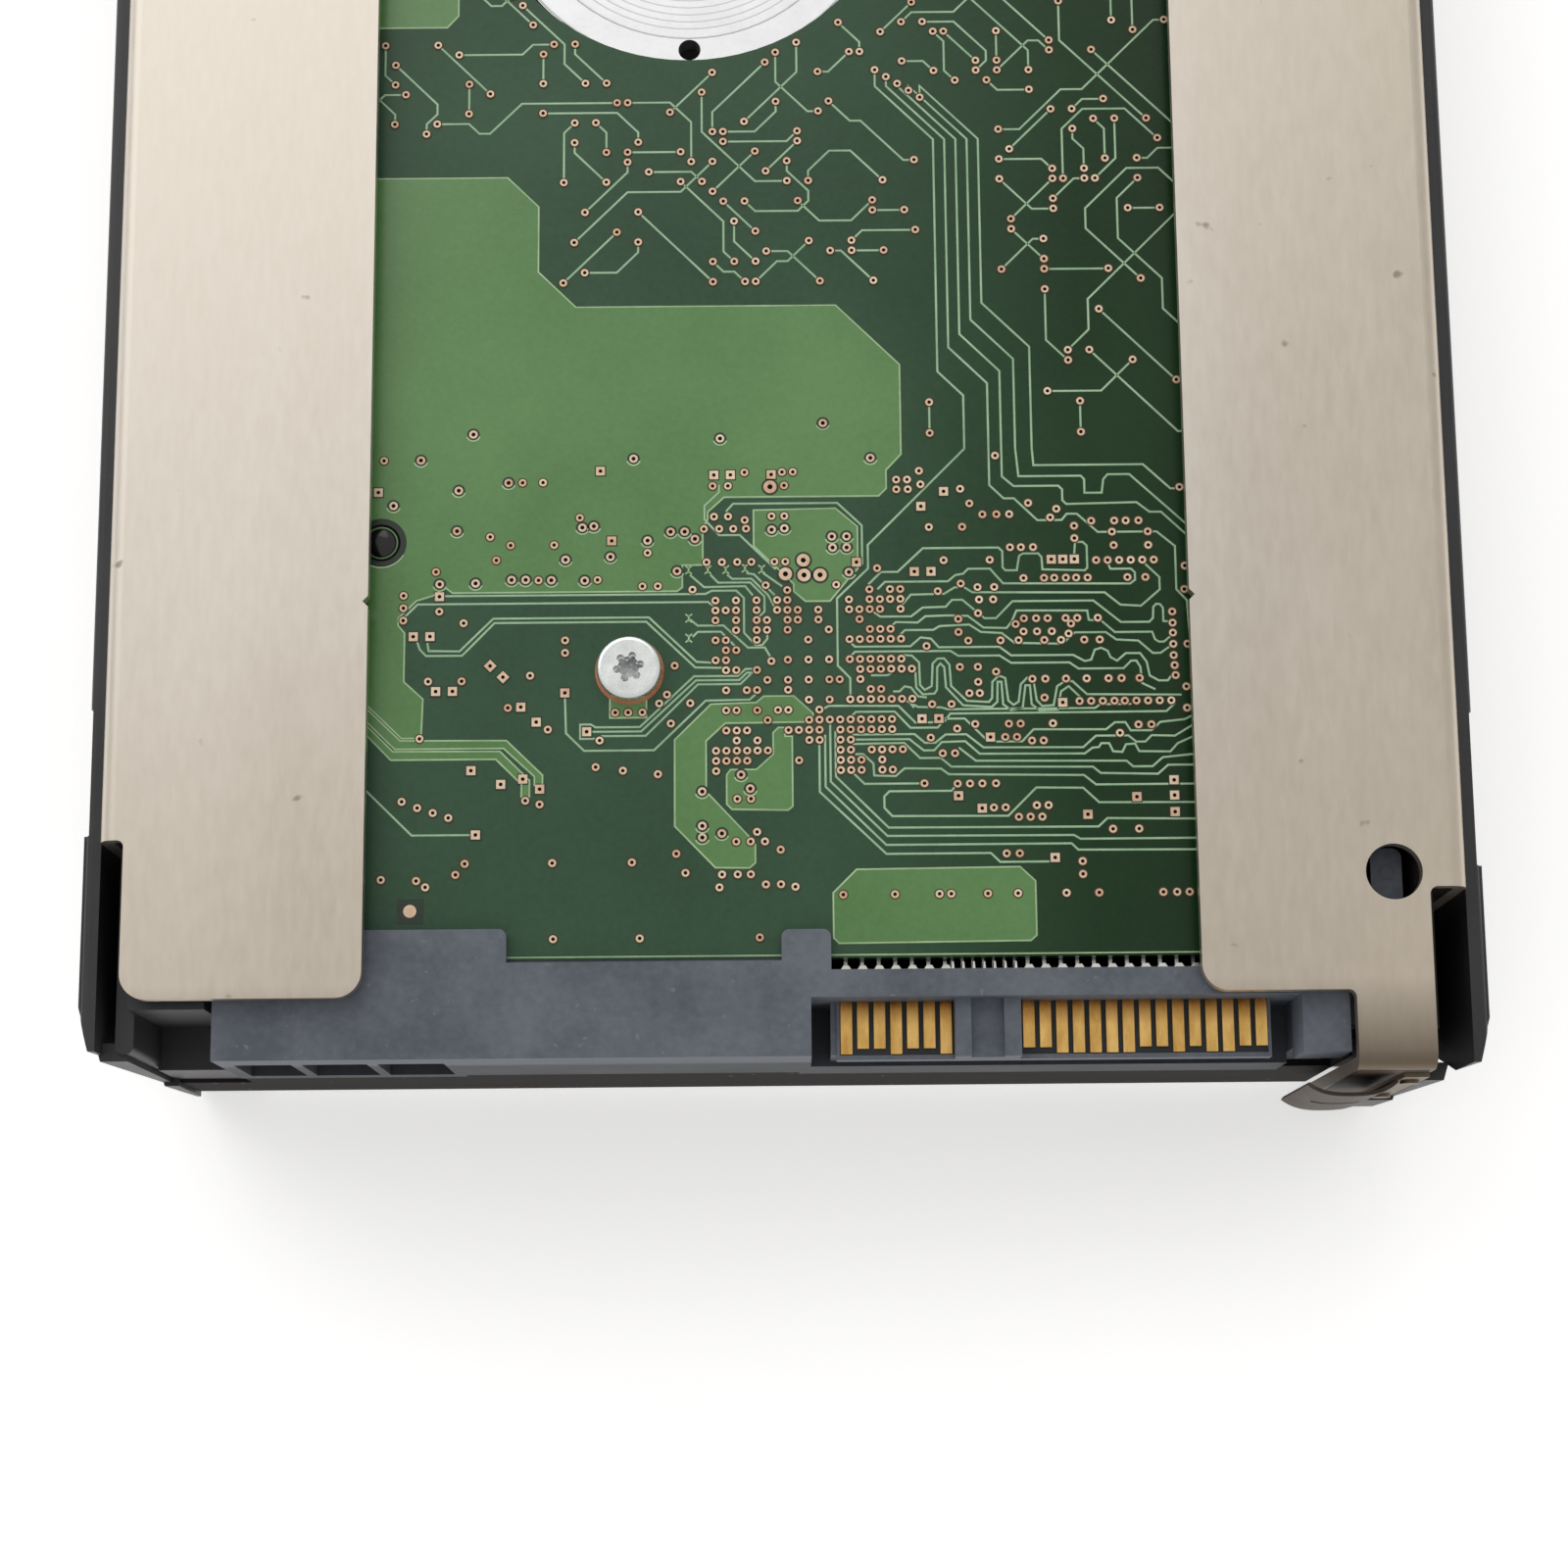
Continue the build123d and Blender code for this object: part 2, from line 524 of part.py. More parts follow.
# ---------------------------------------------------------------- circuit board and connector
def circuit_board():
    """The board, cut out round the motor, with its screw holes and the hole of the locating post."""
    y0, y1 = BOARD_Y
    board = slab(-BOARD_HALF, BOARD_HALF, y0, y1, *BOARD_Z)
    board = round_uprights(board, [(-BOARD_HALF, y1), (BOARD_HALF, y1)], 2.0)
    board -= rod(*SPINDLE, 20, 40, MOTOR_CUT_R)
    board -= slab(SPINDLE[0] - 6, SPINDLE[0] + 6, SPINDLE[1], y1 + 1, 20, 40)
    board -= rod(*POST, 20, 40, 1.5)
    for x, y in BOARD_SCREWS:
        board -= rod(x, y, 20, 40, 1.6)
    return board


POST = (-31.1, 40.7)


def locating_post():
    """The black pin in the casting that locates the board."""
    pin = rod(*POST, FLOOR_Z, BOARD_Z[1] + 0.5, 1.3)
    pin = fillet(pin.edges().sort_by(Axis.Z)[-1], 0.9)
    return pin + rod(*POST, FLOOR_Z, BOARD_Z[0] - 0.1, 2.2)


def board_screws():
    """Pan-head screws with six-lobed sockets that hold the board."""
    solids = []
    for x, y in BOARD_SCREWS:
        head = rod(x, y, BOARD_Z[1], BOARD_Z[1] + 1.35, 2.5)
        head = fillet(head.edges().sort_by(Axis.Z)[-1], 0.35)
        head -= torx_socket(1.0).moved(Location((x, y, BOARD_Z[1] + 0.4), (0, 0, 12)))
        solids.append(head + rod(x, y, FLOOR_Z - 1.2, BOARD_Z[1] + 0.2, 1.25))
    return joined(solids)


def chip(x, y, wide, long, thick):
    """A moulded package on the board's inner face."""
    body = slab(x - wide / 2, x + wide / 2, y - long / 2, y + long / 2, BOARD_Z[0] - thick, BOARD_Z[0])
    return chamfer(body.edges().filter_by(Axis.Z), 0.3)


def board_insulator():
    """The thin foam sheet between board and casting, cut out round chips and screws."""
    pad = slab(-42, 42, 12, 122, FLOOR_Z + 0.05, FLOOR_Z + 0.5)
    pad -= rod(*SPINDLE, 0, 40, MOTOR_CUT_R + 1)
    pad -= slab(SPINDLE[0] - 8, SPINDLE[0] + 8, SPINDLE[1], 130, 0, 40)
    for x, y in BOARD_SCREWS:
        pad -= rod(x, y, 0, 40, 3.3)
    return pad - rod(*POST, 0, 40, 2.5)


def connector_housing():
    """The grey moulding along the drive's end that holds the SAS plug."""
    z0, z1 = HOUSING_Z
    left, post_left, socket_left = -43.2, -0.1, 2.1
    socket_right, right = 39.2, 42.8
    plug_z = TONGUE_Z[1]
    body = slab(left, right, 0.0, 6.58, z0, z1)
    body += slab(left, 3.66, 6.0, 7.3, z0, z1) + slab(left, 3.66, 7.2, 7.58, z0, BOARD_Z[1] - 0.1)
    lap = BOARD_Z[1] + 0.02
    body += slab(left, -21.0, 6.0, 9.9, lap, z1) + slab(post_left, 3.66, 6.0, 9.7, lap, z1)
    body = round_uprights(body, [(-21.0, 9.9), (post_left, 9.7), (3.66, 9.7)], 0.6)
    body -= slab(socket_left, socket_right, -1, 4.48, plug_z - 4.2, 40)
    body += slab(4.05, 37.3, 0.0, 4.6, *TONGUE_Z)
    body -= slab(4.3, 37.05, 0.35, 4.6, plug_z - 0.15, plug_z + 0.01)
    key = slab(13.05, 18.05, 0.0, 4.5, plug_z - 0.3, plug_z + 1.9)
    key -= slab(14.25, 16.75, -1, 4.5, plug_z + 1.1, 40)
    body += key
    body += slab(3.6, 4.3, 0.4, 4.6, plug_z - 4.4, plug_z - 0.2)
    pockets = ((-42.1, -37.7), (-36.9, -31.9), (-31.1, -26.0))
    for x0, x1 in pockets:
        body -= slab(x0, x1, -1, 2.6, z0 + 1.6, z1 - 3.0)
    body -= slab(-25.2, 1.2, -1, 0.5, z0 - 1, z0 + 1.0)
    body -= slab(socket_right, right + 1, -1, 0.8, z0 - 1, plug_z - 1.6)
    arm = slab(45.1, 47.5, 2.2, 15.8, 22.0, 25.2)
    arm = round_uprights(arm, [(45.1, 15.8), (47.5, 15.8)], 0.8)
    for y in (13.9, 11.1):
        arm -= rod(46.3, y, 25.15, 26, 0.62) - rod(46.3, y, 25, 26, 0.52)
    return body + arm + slab(42.0, 47.5, 2.2, 5.2, 22.0, 25.2)


def connector_contacts():
    """The plug's gold blades, each with its tinned leg to the board."""
    top = TONGUE_Z[1]
    solids = []
    rows = [("signal", FIRST_SIGNAL_X, 7), ("power", FIRST_POWER_X, 15)]
    for name, first, count in rows:
        for index in range(count):
            x = first + index * PIN_PITCH
            tip = 0.85 if index in SHORT_PINS[name] else 0.42
            blade = slab(x - 0.44, x + 0.44, tip, 4.65, top - 0.14, top + 0.1)
            blade += slab(x - 0.38, x + 0.38, 4.3, 6.59, top - 0.14, top + 0.1)
            solids.append(blade)
    return joined(solids)


def solder_legs():
    """The tinned legs that leave the plug's back and lie on the board's edge."""
    solids = []
    z0 = BOARD_Z[0] - 0.9
    top = BOARD_Z[1] - 0.5
    for first, count, pitch, half, reach in (
        (FIRST_SIGNAL_X, 7, PIN_PITCH, 0.41, 7.05), (FIRST_POWER_X, 15, PIN_PITCH, 0.41, 7.05),
        (FIRST_FINE_X, 7, FINE_PITCH, 0.11, 7.3),
    ):
        for index in range(count):
            x = first + index * pitch
            foot = max(0.09, half / 3)
            leg = prism(
                [(x - half, 6.6), (x + half, 6.6), (x + half, 6.74), (x + half / 2, reach),
                 (x - half / 2, reach), (x - half, 6.74)], z0, top,
            )
            solids.append(leg + slab(x - foot, x + foot, 6.6, 9.0, z0, z0 + 0.25))
    return joined(solids)


# ---------------------------------------------------------------- spindle motor and disks
def motor_bracket():
    """The round plate that closes the casting's bore and carries the motor."""
    bracket = rod(*SPINDLE, FLOOR_Z + 0.02, FLOOR_Z + 1.6, 16.2) + rod(*SPINDLE, 18.6, FLOOR_Z + 0.1, 13.85)
    bracket -= rod(*SPINDLE, 0, 40, 4.05)
    for turn in range(3):
        bracket -= rod(*polar(SPINDLE, 30 + 120 * turn, 14.9), 0, 40, 0.9)
    return bracket


def bearing_sleeve():
    """The fluid bearing's sleeve, fixed in the bracket and closed at its outer end."""
    return tube(*SPINDLE, 8.0, FLOOR_Z + 1.4, 4.05, 2.04) + rod(*SPINDLE, FLOOR_Z + 1.4, FLOOR_Z + 2.2, 4.05)


def motor_stator():
    """Nine-tooth lamination stack."""
    stator = tube(*SPINDLE, 11.8, 13.8, 6.0, 4.1)
    for tooth in range(9):
        arm = Rot(0, 0, tooth * 40) * (slab(5.5, 9.0, -0.7, 0.7, 11.8, 13.8) + slab(8.6, 9.4, -2.0, 2.0, 11.8, 13.8))
        stator += Pos(*SPINDLE, 0) * arm
    return stator


def motor_windings():
    """Copper windings, one round each stator tooth."""
    solids = []
    for tooth in range(9):
        coil = slab(6.3, 8.4, -1.25, 1.25, 11.0, 14.6) - slab(5, 10, -0.72, 0.72, 11.78, 13.82)
        solids.append(Pos(*SPINDLE, 0) * (Rot(0, 0, tooth * 40) * coil))
    return joined(solids)


def spindle_hub():
    """Hub and shaft: the cup that the disks are stacked on."""
    hub = rod(*SPINDLE, 5.4, STACK_TOP + 1.2, HUB_R) + rod(*SPINDLE, STACK_TOP, STACK_TOP + 1.2, 14.6)
    hub -= rod(*SPINDLE, 7.4, 30, 10.9)
    hub += rod(*SPINDLE, 5.4, FLOOR_Z + 0.9, 2.0)
    for turn in range(6):
        hub -= rod(*polar(SPINDLE, turn * 60, 9.2), 5.0, 6.9, 0.75)
    return hub


def rotor_magnet():
    """The ring magnet inside the hub."""
    return tube(*SPINDLE, 9.6, 16.2, 10.88, 9.75)


def disk(index):
    """A magnetic disk."""
    return tube(*SPINDLE, disk_z(index), disk_z(index) + DISK_T, DISK_R, DISK_BORE_R)


def disk_spacers():
    """The rings between the disks."""
    return joined(
        tube(*SPINDLE, disk_z(i) + DISK_T, disk_z(i + 1), SPACER_R, DISK_BORE_R) for i in range(DISK_COUNT - 1)
    )


def disk_clamp():
    """The spring plate that clamps the disks to the hub."""
    rim = tube(*SPINDLE, 5.3, disk_z(0), 14.8, HUB_R + 0.02)
    plate = tube(*SPINDLE, 4.4, 5.4, 14.8, 3.0)
    for turn in range(6):
        plate -= rod(*polar(SPINDLE, turn * 60, 9.2), 0, 9, 0.9)
    return rim + plate


def clamp_screws():
    """Six screws that pull the clamp down."""
    solids = []
    for turn in range(6):
        x, y = polar(SPINDLE, turn * 60, 9.2)
        solids.append(rod(x, y, 3.6, 4.38, 1.5) + rod(x, y, 4.3, 6.8, 0.7) - rod(x, y, 3.0, 3.9, 0.7))
    return joined(solids)


# ---------------------------------------------------------------- head stack and voice-coil motor
def actuator_arm():
    """The comb of five arms on its barrel, with the two prongs that hold the coil."""
    body = rod(*PIVOT, 4.8, 17.2, 8.0)
    for index in range(DISK_COUNT + 1):
        z = gap_z(index)
        root_a, root_b = polar(PIVOT, PARKED - 62, 7.9), polar(PIVOT, PARKED + 62, 7.9)
        tip_a, tip_b = polar(PIVOT, PARKED - 4.5, 34), polar(PIVOT, PARKED + 4.5, 34)
        arm = prism([root_a, tip_a, tip_b, root_b], z - ARM_T / 2, z + ARM_T / 2)
        arm -= rod(*polar(PIVOT, PARKED, 17), 0, 30, 2.6) + rod(*polar(PIVOT, PARKED, 24.5), 0, 30, 1.9)
        body += arm
    for side in (-1, 1):
        prong = sector(PIVOT, 6, 31, COIL_ANGLE + side * 26.6, 2.4, 9.0, 12.0)
        body += prong
    body -= rod(*PIVOT, 0, 30, 5.0)
    return body


def voice_coil():
    """The flat fan-shaped coil between the prongs."""
    outer = sector(PIVOT, 13.5, 31.0, COIL_ANGLE, 24.0, 9.2, 11.8)
    return outer - sector(PIVOT, 17.5, 27.0, COIL_ANGLE, 14.0, 8, 13)


def pivot_bearing():
    """The bearing cartridge pressed into the arm's barrel."""
    return tube(*PIVOT, 4.8, 17.2, 4.98, 3.04)


def pivot_shaft():
    """The fixed post that the head stack turns on."""
    post = rod(*PIVOT, BASE_Z + 0.2, CEILING_Z - 0.02, 3.0)
    return post + rod(*PIVOT, CEILING_Z - 0.1, CEILING_Z + 1.1, 1.5) - rod(*PIVOT, 0, 5.5, 1.2)


def suspensions():
    """The eight leaf springs that carry the heads."""
    solids = []
    for index in range(DISK_COUNT):
        for z in (disk_z(index) - 0.4, disk_z(index) + DISK_T + 0.4):
            points = [polar(PIVOT, PARKED - 3.2, 31.5), polar(PIVOT, PARKED - 0.9, 48.8), polar(PIVOT, PARKED - 0.5, 51),
                      polar(PIVOT, PARKED + 0.5, 51), polar(PIVOT, PARKED + 0.9, 48.8), polar(PIVOT, PARKED + 3.2, 31.5)]
            solids.append(prism(points, z - 0.04, z + 0.04))
    return joined(solids)


def head_sliders():
    """The eight read/write heads."""
    solids = []
    for index in range(DISK_COUNT):
        for z0 in (disk_z(index) - 0.36, disk_z(index) + DISK_T + 0.11):
            block = slab(-0.5, 0.5, -0.4, 0.4, z0, z0 + 0.25)
            solids.append(block.moved(Location((*polar(PIVOT, PARKED, HEAD_L), 0), (0, 0, PARKED))))
    return joined(solids)


def load_ramp():
    """The comb beside the disks where the heads park."""
    x, y = polar(PIVOT, PARKED, HEAD_L + 3.9)
    ramp = slab(x - 2.6, x + 4.6, y - 1.2, y + 6.0, 4.2, 17.6)
    for index in range(DISK_COUNT + 1):
        ramp -= slab(x - 4, x + 2.2, y - 5, y + 9, gap_z(index) - 0.9, gap_z(index) + 0.9)
    return ramp - rod(*SPINDLE, 0, 30, DISK_R + 0.5)


def yoke_frame():
    """The steel plates above and below the coil, with the two posts that hold them apart."""
    frame = sector(PIVOT, 12.5, 35.5, COIL_MID, 37.0, 4.2, 6.4) + sector(PIVOT, 12.5, 35.5, COIL_MID, 37.0, 14.6, 16.8)
    for side in (-1, 1):
        frame += rod(*polar(PIVOT, COIL_MID + side * 33, 33.8), 5, 15.5, 1.2)
    return frame


def coil_magnets():
    """The two pairs of magnets, one pair on each yoke plate."""
    solids = []
    for z0 in (6.4, 12.8):
        solids += [sector(PIVOT, 14, 31.5, COIL_MID + side * 17, 16.2, z0, z0 + 1.8) for side in (-1, 1)]
    return joined(solids)


def crash_stops():
    """Rubber posts that limit the head stack's swing."""
    reach = 26.6 + 2.4 + SWING / 2
    return joined(rod(*polar(PIVOT, COIL_MID + side * (reach + 4.6), 26.0), BASE_Z + 0.2, CEILING_Z - 0.1, 1.6)
                  for side in (-1, 1))


LATCH_PIN = (-3.5, 33.0)


def latch_arm():
    """The inertial latch that catches the coil's prong in a shock."""
    x, y = LATCH_PIN
    arm = tube(x, y, 9.2, 11.8, 2.2, 1.06)
    arm += prism([(x - 1.2, y - 1.9), (x + 1.2, y - 1.9), (x + 3.2, y - 10.5), (x + 0.6, y - 11.3)], 9.2, 11.8)
    arm += prism([(x - 1.2, y + 1.9), (x + 1.2, y + 1.9), (x + 0.8, y + 8.0), (x - 3.4, y + 8.0)], 9.2, 11.8)
    return arm - rod(x, y, 8, 13, 1.06)


def latch_pin():
    """The pin that the latch turns on."""
    return rod(*LATCH_PIN, 5.0, CEILING_Z - 0.02, 1.0) + rod(*LATCH_PIN, 12.2, CEILING_Z - 0.02, 2.0)


def flex_bracket():
    """The connector block that brings the head signals through the casting."""
    block = slab(-24, -10, 26, 36, 8.0, CEILING_Z - 0.05)
    return block - slab(-22, -12, 24, 30, 10, 15)


def actuator_flex():
    """The flexible circuit from the bracket to the head stack."""
    strip = ribbon([(-11.0, 38.0), (-7.0, 45.0), (-0.5, 46.0), (6.0, 45.5), (12.2, 50.0)], 0.2)
    return extrude(Pos(0, 0, 8.0) * strip, 6.6) + slab(-12.5, -10.8, 36.05, 38.6, 8.0, 14.6)


# ---------------------------------------------------------------- all nodes
def all_parts():
    """Every node's shape by name."""
    parts = {
        "carrier_tray": carrier_tray(),
        "rail_left": guide_rail(-1, 0.8, LEFT_WALL_START, 17.4, 27.4, 24.6, 49.4, 9.5),
        "rail_right": guide_rail(1, -0.9, RIGHT_WALL_START, 14.2, 26.3, 19.0, 48.0, 6.5),
        "tray_screws": tray_screws(),
        "spring_bracket": spring_bracket(),
        "grounding_spring": grounding_spring(),
        "front_bezel": front_bezel(),
        "bezel_screws": bezel_screws(),
        "ejector_lever": ejector_lever(),
        "lever_pin": rod(*HINGE, 1.2, TOP_Z - 1.2, HINGE_R),
        "release_button": release_button(),
        "button_spring": button_spring(),
        "light_pipes": light_pipes(),
        "base_casting": base_casting(),
        "top_cover": top_cover(),
        "cover_gasket": cover_gasket(),
        "cover_screws": cover_screws(),
        "breather_filter": breather_filter(),
        "recirculation_filter": recirculation_filter(),
        "desiccant_pack": desiccant_pack(),
        "circuit_board": circuit_board(),
        "locating_post": locating_post(),
        "board_screws": board_screws(),
        "controller_chip": chip(2.0, 40.0, 14.0, 14.0, 1.3),
        "memory_chip": chip(27.0, 44.0, 8.0, 11.0, 1.0),
        "motor_driver_chip": chip(-22.0, 58.0, 9.0, 9.0, 1.0),
        "flash_chip": chip(24.0, 24.0, 6.0, 5.0, 1.2),
        "board_insulator": board_insulator(),
        "connector_housing": connector_housing(),
        "connector_contacts": connector_contacts(),
        "solder_legs": solder_legs(),
        "motor_bracket": motor_bracket(),
        "bearing_sleeve": bearing_sleeve(),
        "motor_stator": motor_stator(),
        "motor_windings": motor_windings(),
        "spindle_hub": spindle_hub(),
        "rotor_magnet": rotor_magnet(),
        "disk_spacers": disk_spacers(),
        "disk_clamp": disk_clamp(),
        "clamp_screws": clamp_screws(),
        "actuator_arm": actuator_arm(),
        "voice_coil": voice_coil(),
        "pivot_bearing": pivot_bearing(),
        "pivot_shaft": pivot_shaft(),
        "suspensions": suspensions(),
        "head_sliders": head_sliders(),
        "load_ramp": load_ramp(),
        "yoke_frame": yoke_frame(),
        "coil_magnets": coil_magnets(),
        "crash_stops": crash_stops(),
        "latch_pin": latch_pin(),
        "actuator_latch": latch_arm(),
        "flex_bracket": flex_bracket(),
        "actuator_flex": actuator_flex(),
    }
    for index in range(DISK_COUNT):
        parts[f"disk_{index + 1}"] = disk(index)
    return parts


def write_parts():
    """Centres the model along Y and writes one STEP for each node."""
    parts = all_parts()
    boxes = [shape.bounding_box() for shape in parts.values()]
    middle = (min(b.min.Y for b in boxes) + max(b.max.Y for b in boxes)) / 2
    os.makedirs("parts", exist_ok=True)
    for name, shape in parts.items():
        export_step(Pos(0, -middle, 0) * shape, f"parts/{name}.step")
    print("nodes", len(parts), "connector end at y", -middle)
    print("spindle", SPINDLE[0], SPINDLE[1] - middle, "pivot", PIVOT[0], PIVOT[1] - middle, "swing", SWING)
    print("latch", LATCH_PIN[0], LATCH_PIN[1] - middle, "lever", HINGE[0], HINGE[1] - middle)
    print("grounding spring", SPRING_HINGE[0], SPRING_HINGE[1] - middle)


write_parts()
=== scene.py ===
import json
import math
import random

import bmesh
import bpy
from mathutils import Matrix, Vector


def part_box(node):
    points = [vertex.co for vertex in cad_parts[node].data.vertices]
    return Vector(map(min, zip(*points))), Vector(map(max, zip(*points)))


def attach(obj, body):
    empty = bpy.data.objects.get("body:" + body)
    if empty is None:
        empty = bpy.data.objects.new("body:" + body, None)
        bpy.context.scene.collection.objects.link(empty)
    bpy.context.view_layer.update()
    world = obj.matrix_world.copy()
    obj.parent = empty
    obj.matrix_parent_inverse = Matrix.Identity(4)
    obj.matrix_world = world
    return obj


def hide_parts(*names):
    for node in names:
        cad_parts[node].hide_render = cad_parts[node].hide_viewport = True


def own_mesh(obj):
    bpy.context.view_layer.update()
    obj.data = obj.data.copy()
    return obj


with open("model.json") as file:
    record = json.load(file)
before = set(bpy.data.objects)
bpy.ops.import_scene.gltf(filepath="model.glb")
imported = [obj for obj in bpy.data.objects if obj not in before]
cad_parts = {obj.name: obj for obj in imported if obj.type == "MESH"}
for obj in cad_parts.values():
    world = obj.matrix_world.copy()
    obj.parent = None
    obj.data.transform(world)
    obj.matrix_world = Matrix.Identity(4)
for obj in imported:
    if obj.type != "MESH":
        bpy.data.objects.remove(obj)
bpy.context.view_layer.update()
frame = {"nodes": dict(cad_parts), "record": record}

random.seed(7)

# ---------------------------------------------------------------- the drive's own coordinates
# Millimetres: x from the centre line, y from the connector end, z from the plane the carrier rests on.
BOARD_LOW, BOARD_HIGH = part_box("circuit_board")
END_Y = BOARD_LOW[1] - 0.0076
BOARD_TOP = BOARD_HIGH[2] * 1000
DATUM = BOARD_TOP + 1.4
BODY = "carrier"


def at(x, y, z):
    """A point in millimetres of the drive, as a point of the scene in metres."""
    return Vector((x / 1000, END_Y + y / 1000, z / 1000))


# ---------------------------------------------------------------- camera, light, floor
CAMERA_TILT, CAMERA_ROLL = math.radians(9.6), math.radians(-0.5)
CAMERA_AT = (0.1, -23.5, DATUM + 197.5)
SENSOR, LENS, FRAME_SHIFT = 36, 60.75, 0.09
WARM_WHITE = (1.0, 0.99, 0.97)
SURROUND = 0.67
SOFTBOX_AT, SOFTBOX_SIZE, SOFTBOX_WATTS = (-0.5, 1.2, 0.95), (2.2, 1.8), 13.5
FLOOR_HALF, FLOOR_GAP = 12, 0.00005
PAPER, PAPER_GLOW = (0.97, 0.97, 0.97), 0.36


def make_camera():
    """The camera above the plug end; its up direction leans back along the drive."""
    forward = Vector((0, math.sin(CAMERA_TILT), -math.cos(CAMERA_TILT)))
    level, rise = Vector((1, 0, 0)), Vector((0, math.cos(CAMERA_TILT), math.sin(CAMERA_TILT)))
    right = level * math.cos(CAMERA_ROLL) + rise * math.sin(CAMERA_ROLL)
    up = rise * math.cos(CAMERA_ROLL) - level * math.sin(CAMERA_ROLL)
    data = bpy.data.cameras.new("camera")
    data.sensor_width = SENSOR
    data.lens = LENS
    data.shift_y = FRAME_SHIFT
    data.clip_start, data.clip_end = 0.005, 10
    camera = bpy.data.objects.new("camera", data)
    bpy.context.collection.objects.link(camera)
    turn = Matrix((right, up, -forward)).transposed()
    camera.matrix_world = Matrix.Translation(at(*CAMERA_AT)) @ turn.to_4x4()
    bpy.context.scene.camera = camera


def make_softbox():
    data = bpy.data.lights.new("softbox", "AREA")
    data.shape = "RECTANGLE"
    data.size, data.size_y = SOFTBOX_SIZE
    data.energy = SOFTBOX_WATTS
    data.color = WARM_WHITE
    lamp = bpy.data.objects.new("softbox", data)
    bpy.context.collection.objects.link(lamp)
    lamp.location = SOFTBOX_AT
    lamp.rotation_euler = (-Vector(SOFTBOX_AT)).to_track_quat("-Z", "Y").to_euler()


def make_stage():
    """An even surround, one soft light and a white floor that glows a little."""
    scene = bpy.context.scene
    scene.view_settings.view_transform = "Standard"
    world = bpy.data.worlds.new("studio")
    scene.world = world
    world.use_nodes = True
    back = world.node_tree.nodes["Background"]
    back.inputs["Color"].default_value = (*WARM_WHITE, 1)
    back.inputs["Strength"].default_value = SURROUND
    make_softbox()
    mesh = bpy.data.meshes.new("floor")
    corners = [(sx * FLOOR_HALF, sy * FLOOR_HALF, 0) for sx, sy in ((-1, -1), (1, -1), (1, 1), (-1, 1))]
    mesh.from_pydata(corners, [], [(0, 1, 2, 3)])
    floor = bpy.data.objects.new("floor", mesh)
    bpy.context.collection.objects.link(floor)
    floor.location.z = -FLOOR_GAP
    paper = plain("floor_white", PAPER, 0.8)
    glow = paper.node_tree.nodes["Principled BSDF"]
    glow.inputs["Emission Color"].default_value = (1, 1, 1, 1)
    glow.inputs["Emission Strength"].default_value = PAPER_GLOW
    floor.data.materials.append(paper)


# ---------------------------------------------------------------- materials
COAT_ROUGHNESS = 0.12
BUMP_DEPTH = 0.00005
COLOUR_RANGE, GLOSS_RANGE = (0.35, 0.65), (0.3, 0.7)
SPECK_EDGE = 0.05


def plain(name, colour, roughness):
    material = bpy.data.materials.new(name)
    material.use_nodes = True
    shader = material.node_tree.nodes["Principled BSDF"]
    shader.inputs["Base Color"].default_value = (*colour, 1)
    shader.inputs["Roughness"].default_value = roughness
    return material


def rgb(r, g, b):
    """Linear colour of an sRGB triple of 0 to 255."""
    out = []
    for value in (r, g, b):
        c = value / 255
        out.append(c / 12.92 if c <= 0.04045 else ((c + 0.055) / 1.055) ** 2.4)
    return tuple(out)


